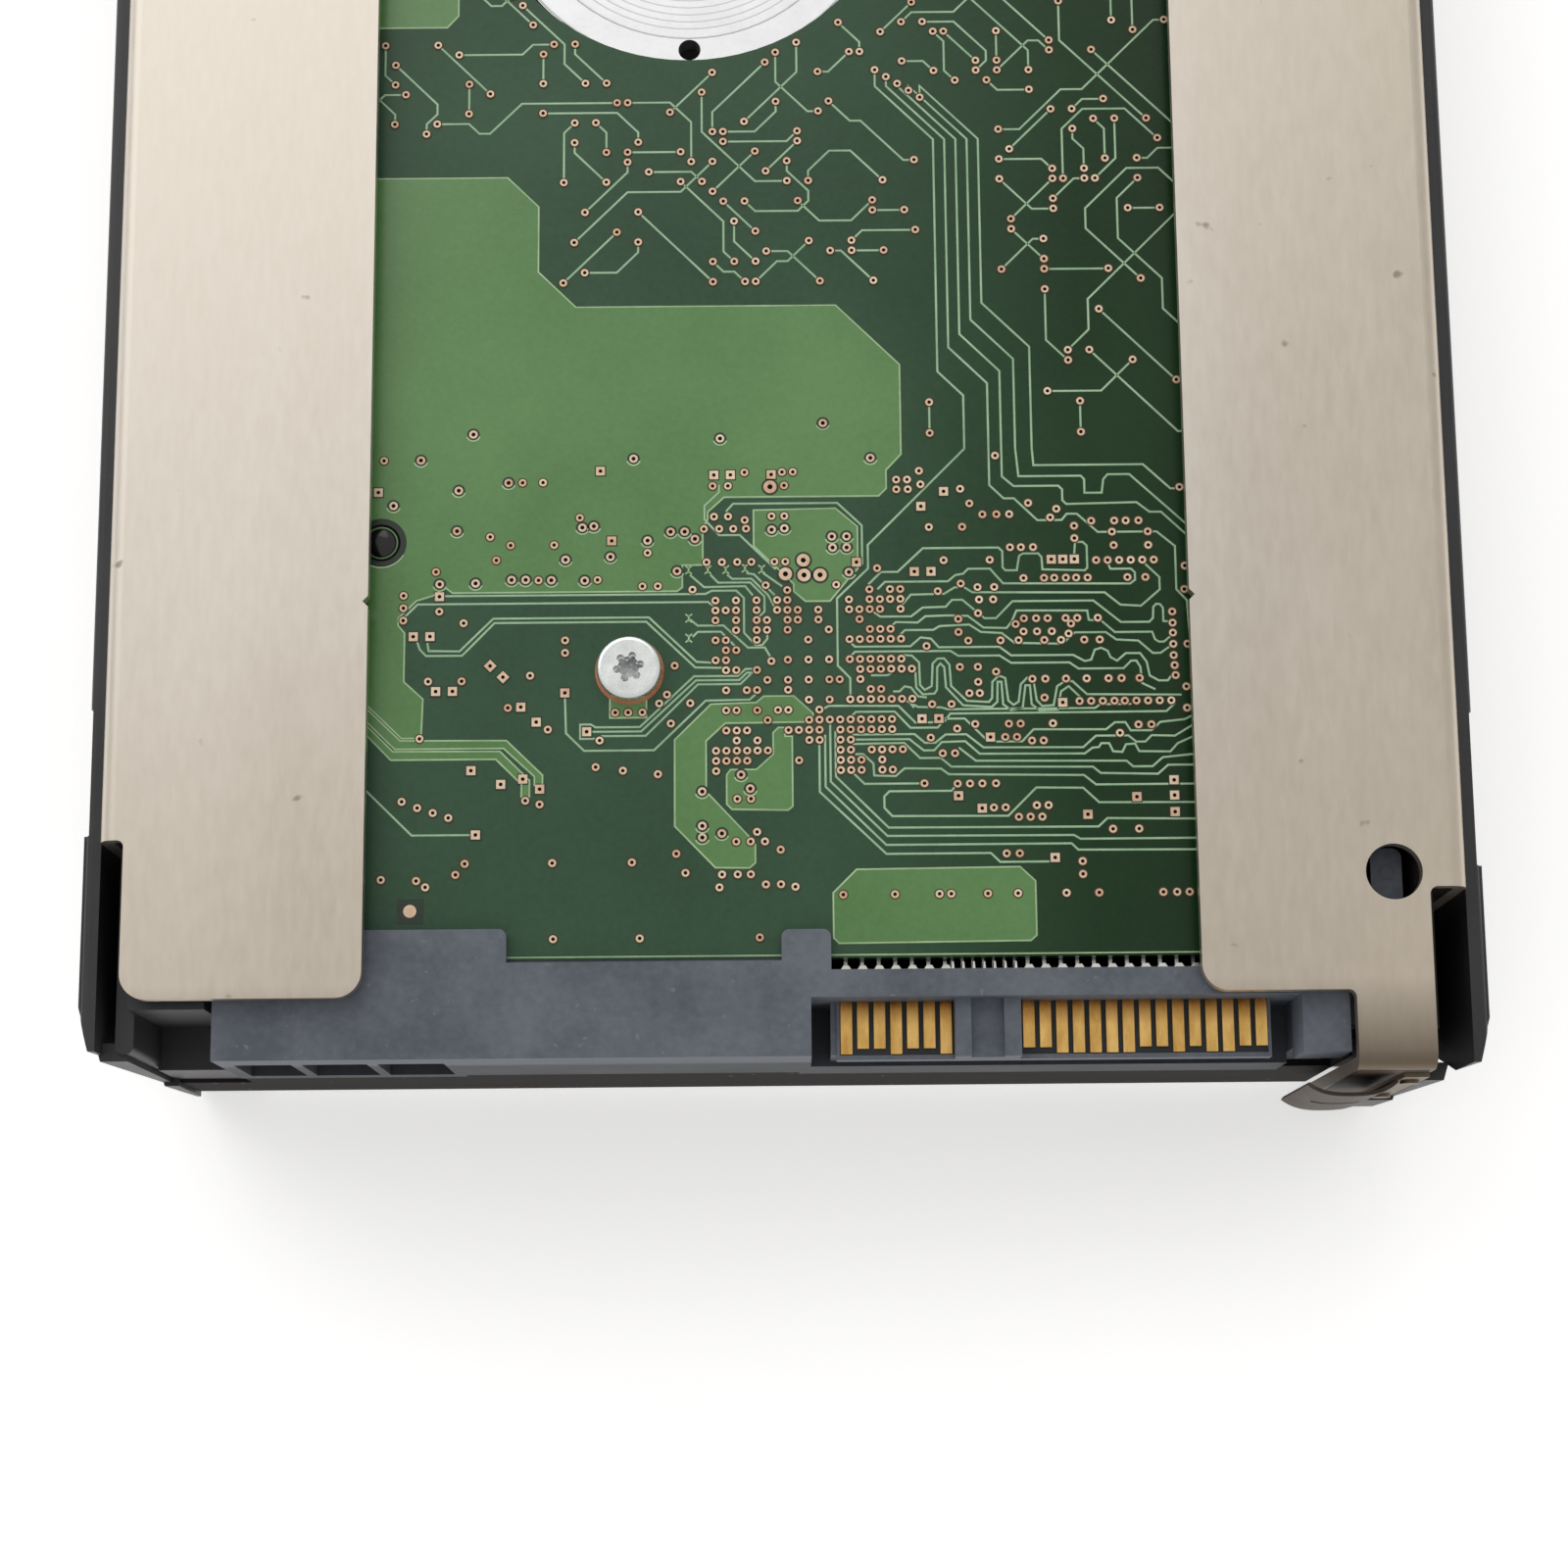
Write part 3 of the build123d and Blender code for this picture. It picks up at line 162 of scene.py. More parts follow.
def surface(name, dark, light, rough, metallic=0.0, patch=60.0, stretch=(1, 1, 1), bump=0.0,
            bump_scale=2500.0, fine=0.25, specks=None, coat=0.0, specular=0.5, shades=()):
    """A surface whose colour and roughness vary in soft patches, with a fine grain, optional specks and bump.

    patch and bump_scale are noise scales in 1/m. specks is (colour, scale, amount). Each shade is painted
    shade,
    given as (axis, from, to, tint): it tints the colour more and more between two positions on an axis.
    """
    material = bpy.data.materials.new(name)
    material.use_nodes = True
    nodes, links = material.node_tree.nodes, material.node_tree.links
    shader = nodes["Principled BSDF"]
    shader.inputs["Metallic"].default_value = metallic
    shader.inputs["Specular IOR Level"].default_value = specular
    shader.inputs["Coat Weight"].default_value = coat
    shader.inputs["Coat Roughness"].default_value = COAT_ROUGHNESS
    place = nodes.new("ShaderNodeTexCoord")
    scale = nodes.new("ShaderNodeMapping")
    scale.inputs["Scale"].default_value = stretch
    links.new(place.outputs["Object"], scale.inputs["Vector"])
    broad = nodes.new("ShaderNodeTexNoise")
    broad.inputs["Scale"].default_value = patch
    broad.inputs["Detail"].default_value = 5
    links.new(scale.outputs["Vector"], broad.inputs["Vector"])
    grain = nodes.new("ShaderNodeTexNoise")
    grain.inputs["Scale"].default_value = bump_scale
    grain.inputs["Detail"].default_value = 3
    links.new(scale.outputs["Vector"], grain.inputs["Vector"])
    blend = nodes.new("ShaderNodeMix")
    blend.data_type = "FLOAT"
    blend.inputs["Factor"].default_value = fine
    links.new(broad.outputs["Fac"], blend.inputs["A"])
    links.new(grain.outputs["Fac"], blend.inputs["B"])
    ramp = nodes.new("ShaderNodeValToRGB")
    for element, position, colour in zip(ramp.color_ramp.elements, COLOUR_RANGE, (dark, light)):
        element.position = position
        element.color = (*colour, 1)
    links.new(blend.outputs["Result"], ramp.inputs["Fac"])
    colour = ramp.outputs["Color"]
    if specks:
        tint, speck_scale, amount = specks
        spots = nodes.new("ShaderNodeTexNoise")
        spots.inputs["Scale"].default_value = speck_scale
        spots.inputs["Detail"].default_value = 2
        links.new(place.outputs["Object"], spots.inputs["Vector"])
        limit = nodes.new("ShaderNodeValToRGB")
        limit.color_ramp.elements[0].position = 1 - amount
        limit.color_ramp.elements[1].position = min(1.0, 1 - amount + SPECK_EDGE)
        links.new(spots.outputs["Fac"], limit.inputs["Fac"])
        over = nodes.new("ShaderNodeMix")
        over.data_type = "RGBA"
        over.inputs["B"].default_value = (*tint, 1)
        links.new(limit.outputs["Color"], over.inputs["Factor"])
        links.new(colour, over.inputs["A"])
        colour = over.outputs["Result"]
    if shades:
        split = nodes.new("ShaderNodeSeparateXYZ")
        links.new(place.outputs["Object"], split.inputs["Vector"])
    # Each shade multiplies the colour by its tint towards one end of an axis: painted shade.
    for axis, begin, finish, tint in shades:
        fade = nodes.new("ShaderNodeMapRange")
        fade.inputs["From Min"].default_value, fade.inputs["From Max"].default_value = begin, finish
        links.new(split.outputs[axis], fade.inputs["Value"])
        painted_shade = nodes.new("ShaderNodeMix")
        painted_shade.data_type = "RGBA"
        painted_shade.blend_type = "MULTIPLY"
        painted_shade.inputs["B"].default_value = (*tint, 1)
        links.new(fade.outputs["Result"], painted_shade.inputs["Factor"])
        links.new(colour, painted_shade.inputs["A"])
        colour = painted_shade.outputs["Result"]
    links.new(colour, shader.inputs["Base Color"])
    gloss = nodes.new("ShaderNodeMapRange")
    gloss.inputs["From Min"].default_value, gloss.inputs["From Max"].default_value = GLOSS_RANGE
    gloss.inputs["To Min"].default_value, gloss.inputs["To Max"].default_value = rough
    links.new(blend.outputs["Result"], gloss.inputs["Value"])
    links.new(gloss.outputs["Result"], shader.inputs["Roughness"])
    if bump:
        relief = nodes.new("ShaderNodeBump")
        relief.inputs["Strength"].default_value = bump
        relief.inputs["Distance"].default_value = BUMP_DEPTH
        links.new(grain.outputs["Fac"], relief.inputs["Height"])
        links.new(relief.outputs["Normal"], shader.inputs["Normal"])
    return material


MATERIALS = {
    "tray_steel": surface(
        "nickel_sheet", dark=(0.6, 0.545, 0.475), light=(0.7, 0.65, 0.585), rough=(0.34, 0.5), metallic=1.0,
        patch=35, stretch=(1, 0.25, 1), bump=0.12, bump_scale=1800, fine=0.3,
        specks=((0.36, 0.32, 0.28), 420, 0.26),
        # painted shade: darker towards the plug end, strongest on the tab and its end wall; a little darker
        # on the wings' lower parts and on the right wing
        shades=[("Y", END_Y + 0.0055, END_Y - 0.0012, (0.28, 0.25, 0.22)),
                ("Y", END_Y + 0.035, END_Y + 0.004, (0.93, 0.9, 0.86)),
                ("X", 0.03, 0.05, (0.92, 0.9, 0.86))],
    ),
    "rail_plastic": surface(
        "rail_black", dark=rgb(30, 30, 33), light=rgb(46, 45, 49), rough=(0.38, 0.55), patch=90,
        bump=0.3, bump_scale=3500,
    ),
    "bezel_plastic": surface(
        "bezel_charcoal", dark=rgb(48, 49, 52), light=rgb(60, 61, 64), rough=(0.45, 0.6),
        patch=80, bump=0.35, bump_scale=3200,
    ),
    "lever_plastic": surface(
        "lever_grey", dark=rgb(74, 76, 80), light=rgb(88, 90, 94), rough=(0.42, 0.55), patch=80,
        bump=0.3, bump_scale=3200,
    ),
    "catch_plastic": surface(
        "catch_maroon", dark=rgb(120, 34, 40), light=rgb(138, 44, 50), rough=(0.3, 0.42),
        patch=90, bump=0.2, bump_scale=3000,
    ),
    "cast_aluminium": surface(
        "casting_dark", dark=rgb(34, 32, 32), light=rgb(50, 47, 45), rough=(0.7, 0.85),
        patch=120, bump=0.4, bump_scale=1500, specks=((0.16, 0.15, 0.14), 900, 0.28), specular=0.08,
    ),
    "lid_metal": surface(
        "lid_satin", dark=(0.5, 0.5, 0.51), light=(0.6, 0.6, 0.61), rough=(0.3, 0.42), metallic=1.0,
        patch=40, stretch=(1, 0.05, 1), bump=0.1, bump_scale=3000,
    ),
    "seal_rubber": surface(
        "seal_black", dark=rgb(20, 20, 20), light=rgb(34, 33, 32), rough=(0.6, 0.8), bump=0.3,
    ),
    "screw_steel": surface(
        "screw_bright", dark=(0.8, 0.83, 0.82), light=(0.9, 0.93, 0.92), rough=(0.2, 0.36), metallic=1.0,
        patch=700, bump=0.15, bump_scale=6000,
    ),
    "spring_steel": surface(
        "spring_bronze", dark=(0.035, 0.027, 0.022), light=(0.085, 0.062, 0.048), rough=(0.4, 0.55),
        metallic=0.4, patch=260, stretch=(1, 4, 1), bump=0.1, bump_scale=2500, specular=0.15,
    ),
    "chip_plastic": surface(
        "chip_epoxy", dark=rgb(26, 26, 28), light=rgb(38, 38, 40), rough=(0.45, 0.6), bump=0.3,
    ),
    "foam_sheet": surface(
        "foam_dark", dark=rgb(40, 40, 42), light=rgb(58, 58, 60), rough=(0.7, 0.9), bump=0.5,
        bump_scale=2500,
    ),
    "connector_plastic": surface(
        "connector_grey", dark=rgb(83, 89, 98), light=rgb(105, 110, 119), rough=(0.5, 0.66),
        patch=160, bump=0.45, bump_scale=1600, fine=0.35, specks=((0.16, 0.17, 0.19), 1500, 0.3),
        # painted shade: the housing darker below the plug's face, in its recesses and on its lower lip
        shades=[("Z", (DATUM - 4.2) / 1000, (DATUM - 5.4) / 1000, (0.34, 0.34, 0.34))], specular=0.25,
    ),
    "post_plastic": surface(
        "post_black", dark=rgb(12, 13, 14), light=rgb(24, 24, 25), rough=(0.12, 0.22), bump=0.1,
    ),
    "contact_gold": surface(
        "gold_plate", dark=(0.62, 0.34, 0.08), light=(0.9, 0.58, 0.2), rough=(0.22, 0.38), metallic=1.0,
        patch=900, stretch=(1, 0.3, 1), bump=0.2, bump_scale=5000,
        # painted shade: the blades darker and browner towards their tops, under the housing's bar
        shades=[("Y", END_Y + 0.0026, END_Y + 0.0046, (0.36, 0.22, 0.14))],
    ),
    "solder_tin": surface(
        "tin_solder", dark=(0.7, 0.69, 0.63), light=(0.88, 0.87, 0.82), rough=(0.22, 0.4), metallic=1.0,
        patch=900, bump=0.3, bump_scale=3000,
    ),
    "copper_wire": surface(
        "copper_enamel", dark=(0.55, 0.22, 0.1), light=(0.78, 0.36, 0.18), rough=(0.25, 0.4), metallic=1.0,
        patch=900,
    ),
    "magnet_nickel": surface(
        "magnet_plate", dark=(0.6, 0.6, 0.58), light=(0.72, 0.72, 0.7), rough=(0.2, 0.32), metallic=1.0,
        patch=200,
    ),
    "motor_steel": surface(
        "machined_steel", dark=(0.4, 0.41, 0.42), light=(0.47, 0.48, 0.49), rough=(0.3, 0.42), metallic=1.0,
        patch=900, bump=0.15, bump_scale=4000,
    ),
    "disk_film": surface(
        "disk_mirror", dark=(0.76, 0.76, 0.76), light=(0.84, 0.84, 0.84), rough=(0.03, 0.06), metallic=1.0,
        patch=60,
    ),
    "arm_aluminium": surface(
        "machined_aluminium", dark=(0.62, 0.63, 0.64), light=(0.74, 0.75, 0.76), rough=(0.28, 0.42),
        metallic=1.0, patch=300, bump=0.1,
    ),
    "ramp_plastic": surface(
        "ramp_ivory", dark=rgb(214, 208, 190), light=rgb(228, 223, 208), rough=(0.35, 0.5), bump=0.1,
    ),
    "filter_fibre": surface(
        "filter_white", dark=rgb(215, 214, 208), light=rgb(235, 234, 230), rough=(0.8, 0.95), bump=0.6,
        bump_scale=4000,
    ),
    "flex_film": surface(
        "flex_amber", dark=rgb(150, 84, 24), light=rgb(178, 106, 36), rough=(0.2, 0.32), bump=0.1,
    ),
    "board_mask": surface(
        "board_green", dark=rgb(47, 74, 54), light=rgb(59, 88, 65), rough=(0.24, 0.38),
        patch=45, bump=0.15, bump_scale=2200, specular=0.25,
        # painted shade: the mask darker towards the board's right side
        shades=[("X", 0.002, 0.024, (0.22, 0.42, 0.2))],
    ),
}
POUR = surface(
    "pour_green", dark=rgb(76, 120, 62), light=rgb(92, 136, 78), rough=(0.24, 0.4), patch=60,
    bump=0.2, bump_scale=2200, coat=0.25,
)
TRACE = surface(
    "trace_green", dark=rgb(140, 176, 140), light=rgb(170, 200, 166), rough=(0.25, 0.4),
    patch=300, coat=0.3,
)
# Pale green of painted highlight along the pours' edges and in the crescents beside ringed vias and the post;
# also used for the H-shaped marks and the edge line.
HIGHLIGHT_AND_MARKS = surface(
    "highlight_and_mark_green", dark=rgb(146, 178, 130), light=rgb(176, 204, 160), rough=(0.25, 0.4),
    patch=300, coat=0.3,
)
GAP = surface(
    "gap_green", dark=rgb(22, 36, 26), light=rgb(32, 46, 34), rough=(0.3, 0.5), patch=300,
)
OUTLINE = surface(
    "ring_shade", dark=rgb(64, 50, 34), light=rgb(92, 72, 50), rough=(0.4, 0.6), patch=500,
    specular=0.2,
)
VIA = surface(
    "via_copper", dark=rgb(206, 164, 132), light=rgb(236, 216, 188), rough=(0.35, 0.55), metallic=0.2,
    patch=350, bump=0.2, bump_scale=3000,
)
# Dark discs and rings of painted shade in place of each via's hole, each pad's hole and the gap round the
# post.
HOLE_SHADE = surface(
    "hole_painted_shade", dark=rgb(6, 4, 4), light=rgb(14, 9, 8), rough=(0.7, 0.9), patch=800,
    specular=0.1,
)
# Dark stars of painted shade in the socket of each screw head.
SOCKET_PAINTED_SHADE = surface(
    "socket_shade", dark=(0.05, 0.05, 0.052), light=(0.55, 0.57, 0.57), rough=(0.25, 0.5), metallic=1.0,
    patch=900, bump=0.6, bump_scale=2500,
)
# A dark sheet of painted shade on the plug's face between its contacts.
TONGUE_SHADE = surface(
    "tongue_painted_shade", dark=rgb(30, 33, 36), light=rgb(44, 48, 52), rough=(0.45, 0.6), patch=200,
    bump=0.3, specular=0.3,
)
# A brown sheet of painted shade on the tab's end wall.
TAB_WALL_SHADE = surface(
    "tab_wall_painted_shade", dark=rgb(58, 48, 42), light=rgb(84, 68, 56), rough=(0.45, 0.6), patch=300,
    bump=0.2, specular=0.2,
)
COPPER = surface(
    "pad_copper", dark=rgb(150, 92, 62), light=rgb(190, 128, 92), rough=(0.35, 0.5), metallic=0.5,
    patch=500, bump=0.3, bump_scale=2500,
)


def light_pipe_material():
    material = plain("pipe_clear", (0.86, 0.9, 0.88), 0.1)
    material.node_tree.nodes["Principled BSDF"].inputs["Transmission Weight"].default_value = 0.6
    return material


MATERIALS["light_pipe"] = light_pipe_material()
ZINC = surface(
    "screw_zinc", dark=(0.3, 0.3, 0.31), light=(0.42, 0.42, 0.43), rough=(0.3, 0.45), metallic=1.0,
    patch=700, bump=0.15, bump_scale=6000,
)
NODE_LOOKS = {"tray_screws": ZINC, "bezel_screws": ZINC}


def dress_nodes():
    """Every CAD node gets the material of its slot, or its own look."""
    for entry in frame["record"]["subparts"]:
        node = frame["nodes"][entry["node"]]
        material = NODE_LOOKS.get(entry["node"], MATERIALS[entry["material_slot"]])
        for slot in node.material_slots:
            slot.material = material
        if not node.material_slots:
            node.data.materials.append(material)


# ---------------------------------------------------------------- flat pieces on the board
def add_piece(name, shapes, material):
    """One mesh of the collected shapes, fixed to the carrier."""
    mesh = bpy.data.meshes.new(name)
    mesh.from_pydata([at(*v) for v in shapes.verts], [], shapes.faces)
    tidy = bmesh.new()
    tidy.from_mesh(mesh)
    bmesh.ops.recalc_face_normals(tidy, faces=tidy.faces)
    tidy.to_mesh(mesh)
    tidy.free()
    mesh.materials.append(material)
    piece = bpy.data.objects.new(name, mesh)
    bpy.context.collection.objects.link(piece)
    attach(piece, BODY)


class Shapes:
    """Collects many small solids in one mesh."""

    def __init__(self):
        self.verts, self.faces = [], []

    def ring(self, x, y, r_in, r_out, z0, z1, sides=20, start=0.0, sweep=360.0, slope=0.0):
        """A flat ring or arc, its outer top edge pulled in by slope."""
        full = sweep >= 360
        count = sides if full else max(3, round(sides * sweep / 360))
        first = len(self.verts)
        steps = count if full else count + 1
        for i in range(steps):
            a = math.radians(start + sweep * i / count)
            c, s = math.cos(a), math.sin(a)
            for r, z in ((r_in, z0), (r_out, z0), (r_out - slope, z1), (r_in + slope, z1)):
                self.verts.append((x + r * c, y + r * s, z))
        for i in range(count):
            a, b = first + 4 * i, first + 4 * ((i + 1) % steps)
            for k in range(4):
                self.faces.append((a + k, b + k, b + (k + 1) % 4, a + (k + 1) % 4))
        if not full:
            self.faces.append(tuple(first + k for k in range(4)))
            self.faces.append(tuple(first + 4 * count + k for k in reversed(range(4))))

    def disc(self, x, y, r, z0, z1, sides=16):
        """A flat round plate."""
        first = len(self.verts)
        for z in (z0, z1):
            for i in range(sides):
                a = math.tau * i / sides
                self.verts.append((x + r * math.cos(a), y + r * math.sin(a), z))
        self.faces.append(tuple(reversed(range(first, first + sides))))
        self.faces.append(tuple(range(first + sides, first + 2 * sides)))
        for i in range(sides):
            j = (i + 1) % sides
            self.faces.append((first + i, first + j, first + sides + j, first + sides + i))

    def prism(self, points, z0, z1):
        """An outline raised from z0 to z1."""
        first, n = len(self.verts), len(points)
        self.verts += [(x, y, z0) for x, y in points] + [(x, y, z1) for x, y in points]
        self.faces.append(tuple(reversed(range(first, first + n))))
        self.faces.append(tuple(range(first + n, first + 2 * n)))
        for i in range(n):
            j = (i + 1) % n
            self.faces.append((first + i, first + j, first + n + j, first + n + i))

    def strip(self, points, width, z0, z1, closed=False, slope=0.03):
        """A raised line along a path, with mitred corners and sloping sides."""
        n = len(points)
        first = len(self.verts)
        for i, (x, y) in enumerate(points):
            before = points[i - 1] if i or closed else None
            after = points[(i + 1) % n] if i < n - 1 or closed else None
            sides = []
            if before:
                sides.append(Vector((x - before[0], y - before[1])).normalized())
            if after:
                sides.append(Vector((after[0] - x, after[1] - y)).normalized())
            normals = [Vector((-s.y, s.x)) for s in sides]
            middle = sum(normals, Vector((0, 0)))
            middle = middle.normalized() if middle.length > 0.2 else normals[0]
            reach = 1 / max(0.45, middle.dot(normals[0]))
            for side, z in ((1, z0), (-1, z0), (-1, z1), (1, z1)):
                half = (width / 2 - (slope if z == z1 else 0)) * reach * side
                self.verts.append((x + middle.x * half, y + middle.y * half, z))
        for i in range(n if closed else n - 1):
            a, b = first + 4 * i, first + 4 * ((i + 1) % n)
            for k in range(4):
                self.faces.append((a + k, b + k, b + (k + 1) % 4, a + (k + 1) % 4))
        if not closed:
            self.faces.append(tuple(first + k for k in range(4)))
            self.faces.append(tuple(first + 4 * (n - 1) + k for k in reversed(range(4))))


# Copper areas, each as its outline.
POURS = [
    [(-43, 71), (-21.5, 71), (-19, 68.5), (-19, 63), (-16, 60), (4.6, 60), (9.6, 55), (9.6, 47.6),
     (8.4, 46.3), (8.4, 44.8), (7.8, 44.2), (-4.3, 44.2), (-5.6, 43.0), (-5.6, 42.4), (-6.0, 41.6),
     (-6.0, 38.7), (-7.6, 38.7), (-7.6, 36.9), (-8.0, 36.6), (-25.5, 36.6), (-26.0, 37.0), (-27.0, 36.4),
     (-28.3, 36.0), (-29.7, 34.6), (-29.7, 34.0), (-29.2, 33.4), (-29.2, 29.5), (-27.7, 28.1),
     (-27.8, 25.0), (-29.3, 25.0), (-33, 28.6), (-43, 28.6)],
    [(-2.0, 43.1), (4.4, 43.2), (6.1, 41.7), (6.1, 38.3), (5.2, 37.3), (3.9, 35.7), (2.0, 35.7),
     (1.1, 36.5), (1.1, 37.1), (-1.2, 39.4), (-2.0, 40.2)],
    [(-8.2, 24.7), (-5.4, 27.5), (-1.9, 27.6), (-1.3, 28.1), (1.0, 28.1), (2.5, 26.7), (2.3, 26.05),
     (-4.3, 26.0), (-5.8, 24.6), (-5.8, 20.6), (-2.4, 16.9), (-2.05, 16.4), (-2.05, 15.0), (-2.5, 14.6),
     (-5.1, 14.65), (-8.2, 17.9)],
    [(-4.2, 21.9), (-3.9, 22.3), (-1.9, 22.3), (-0.6, 23.5), (-0.6, 25.2), (-0.2, 25.6), (0.3, 25.6),
     (0.3, 24.9), (0.85, 24.9), (0.85, 19.4), (0.5, 19.1), (-3.8, 19.2), (-4.2, 19.6)],
    [(-33, 28.3), (-29.4, 24.8), (-21.2, 24.75), (-18.4, 22.0), (-18.4, 21.2), (-19.0, 21.2), (-19.0, 21.9),
     (-21.4, 24.15), (-29.8, 24.15), (-33, 27.3)],
    [(-33, 27.0), (-29.95, 23.95), (-21.7, 23.9), (-19.4, 21.6), (-19.4, 20.3), (-20.0, 20.3),
     (-20.0, 21.3), (-22.0, 23.3), (-30.1, 23.3), (-33, 26.3)],
    [(3.9, 9.1), (4.3, 8.7), (18.9, 8.8), (19.35, 9.2), (19.35, 13.4), (18.2, 14.5), (5.7, 14.4),
     (3.9, 12.6)],
    [(-13.2, 26.5), (-10.4, 26.5), (-10.4, 28.4), (-13.2, 28.4)],
    [(13.5, 92), (15, 90.5), (24, 90.5), (25.5, 89), (33, 89), (33, 119.5), (16.5, 119.5), (13.5, 116.5)],
    [(-33, 84), (-26.5, 84), (-25.6, 85), (-25.6, 90.5), (-27.6, 93), (-27.6, 103), (-25.6, 105.5),
     (-25.6, 112), (-27, 113.5), (-33, 113.5)],
]
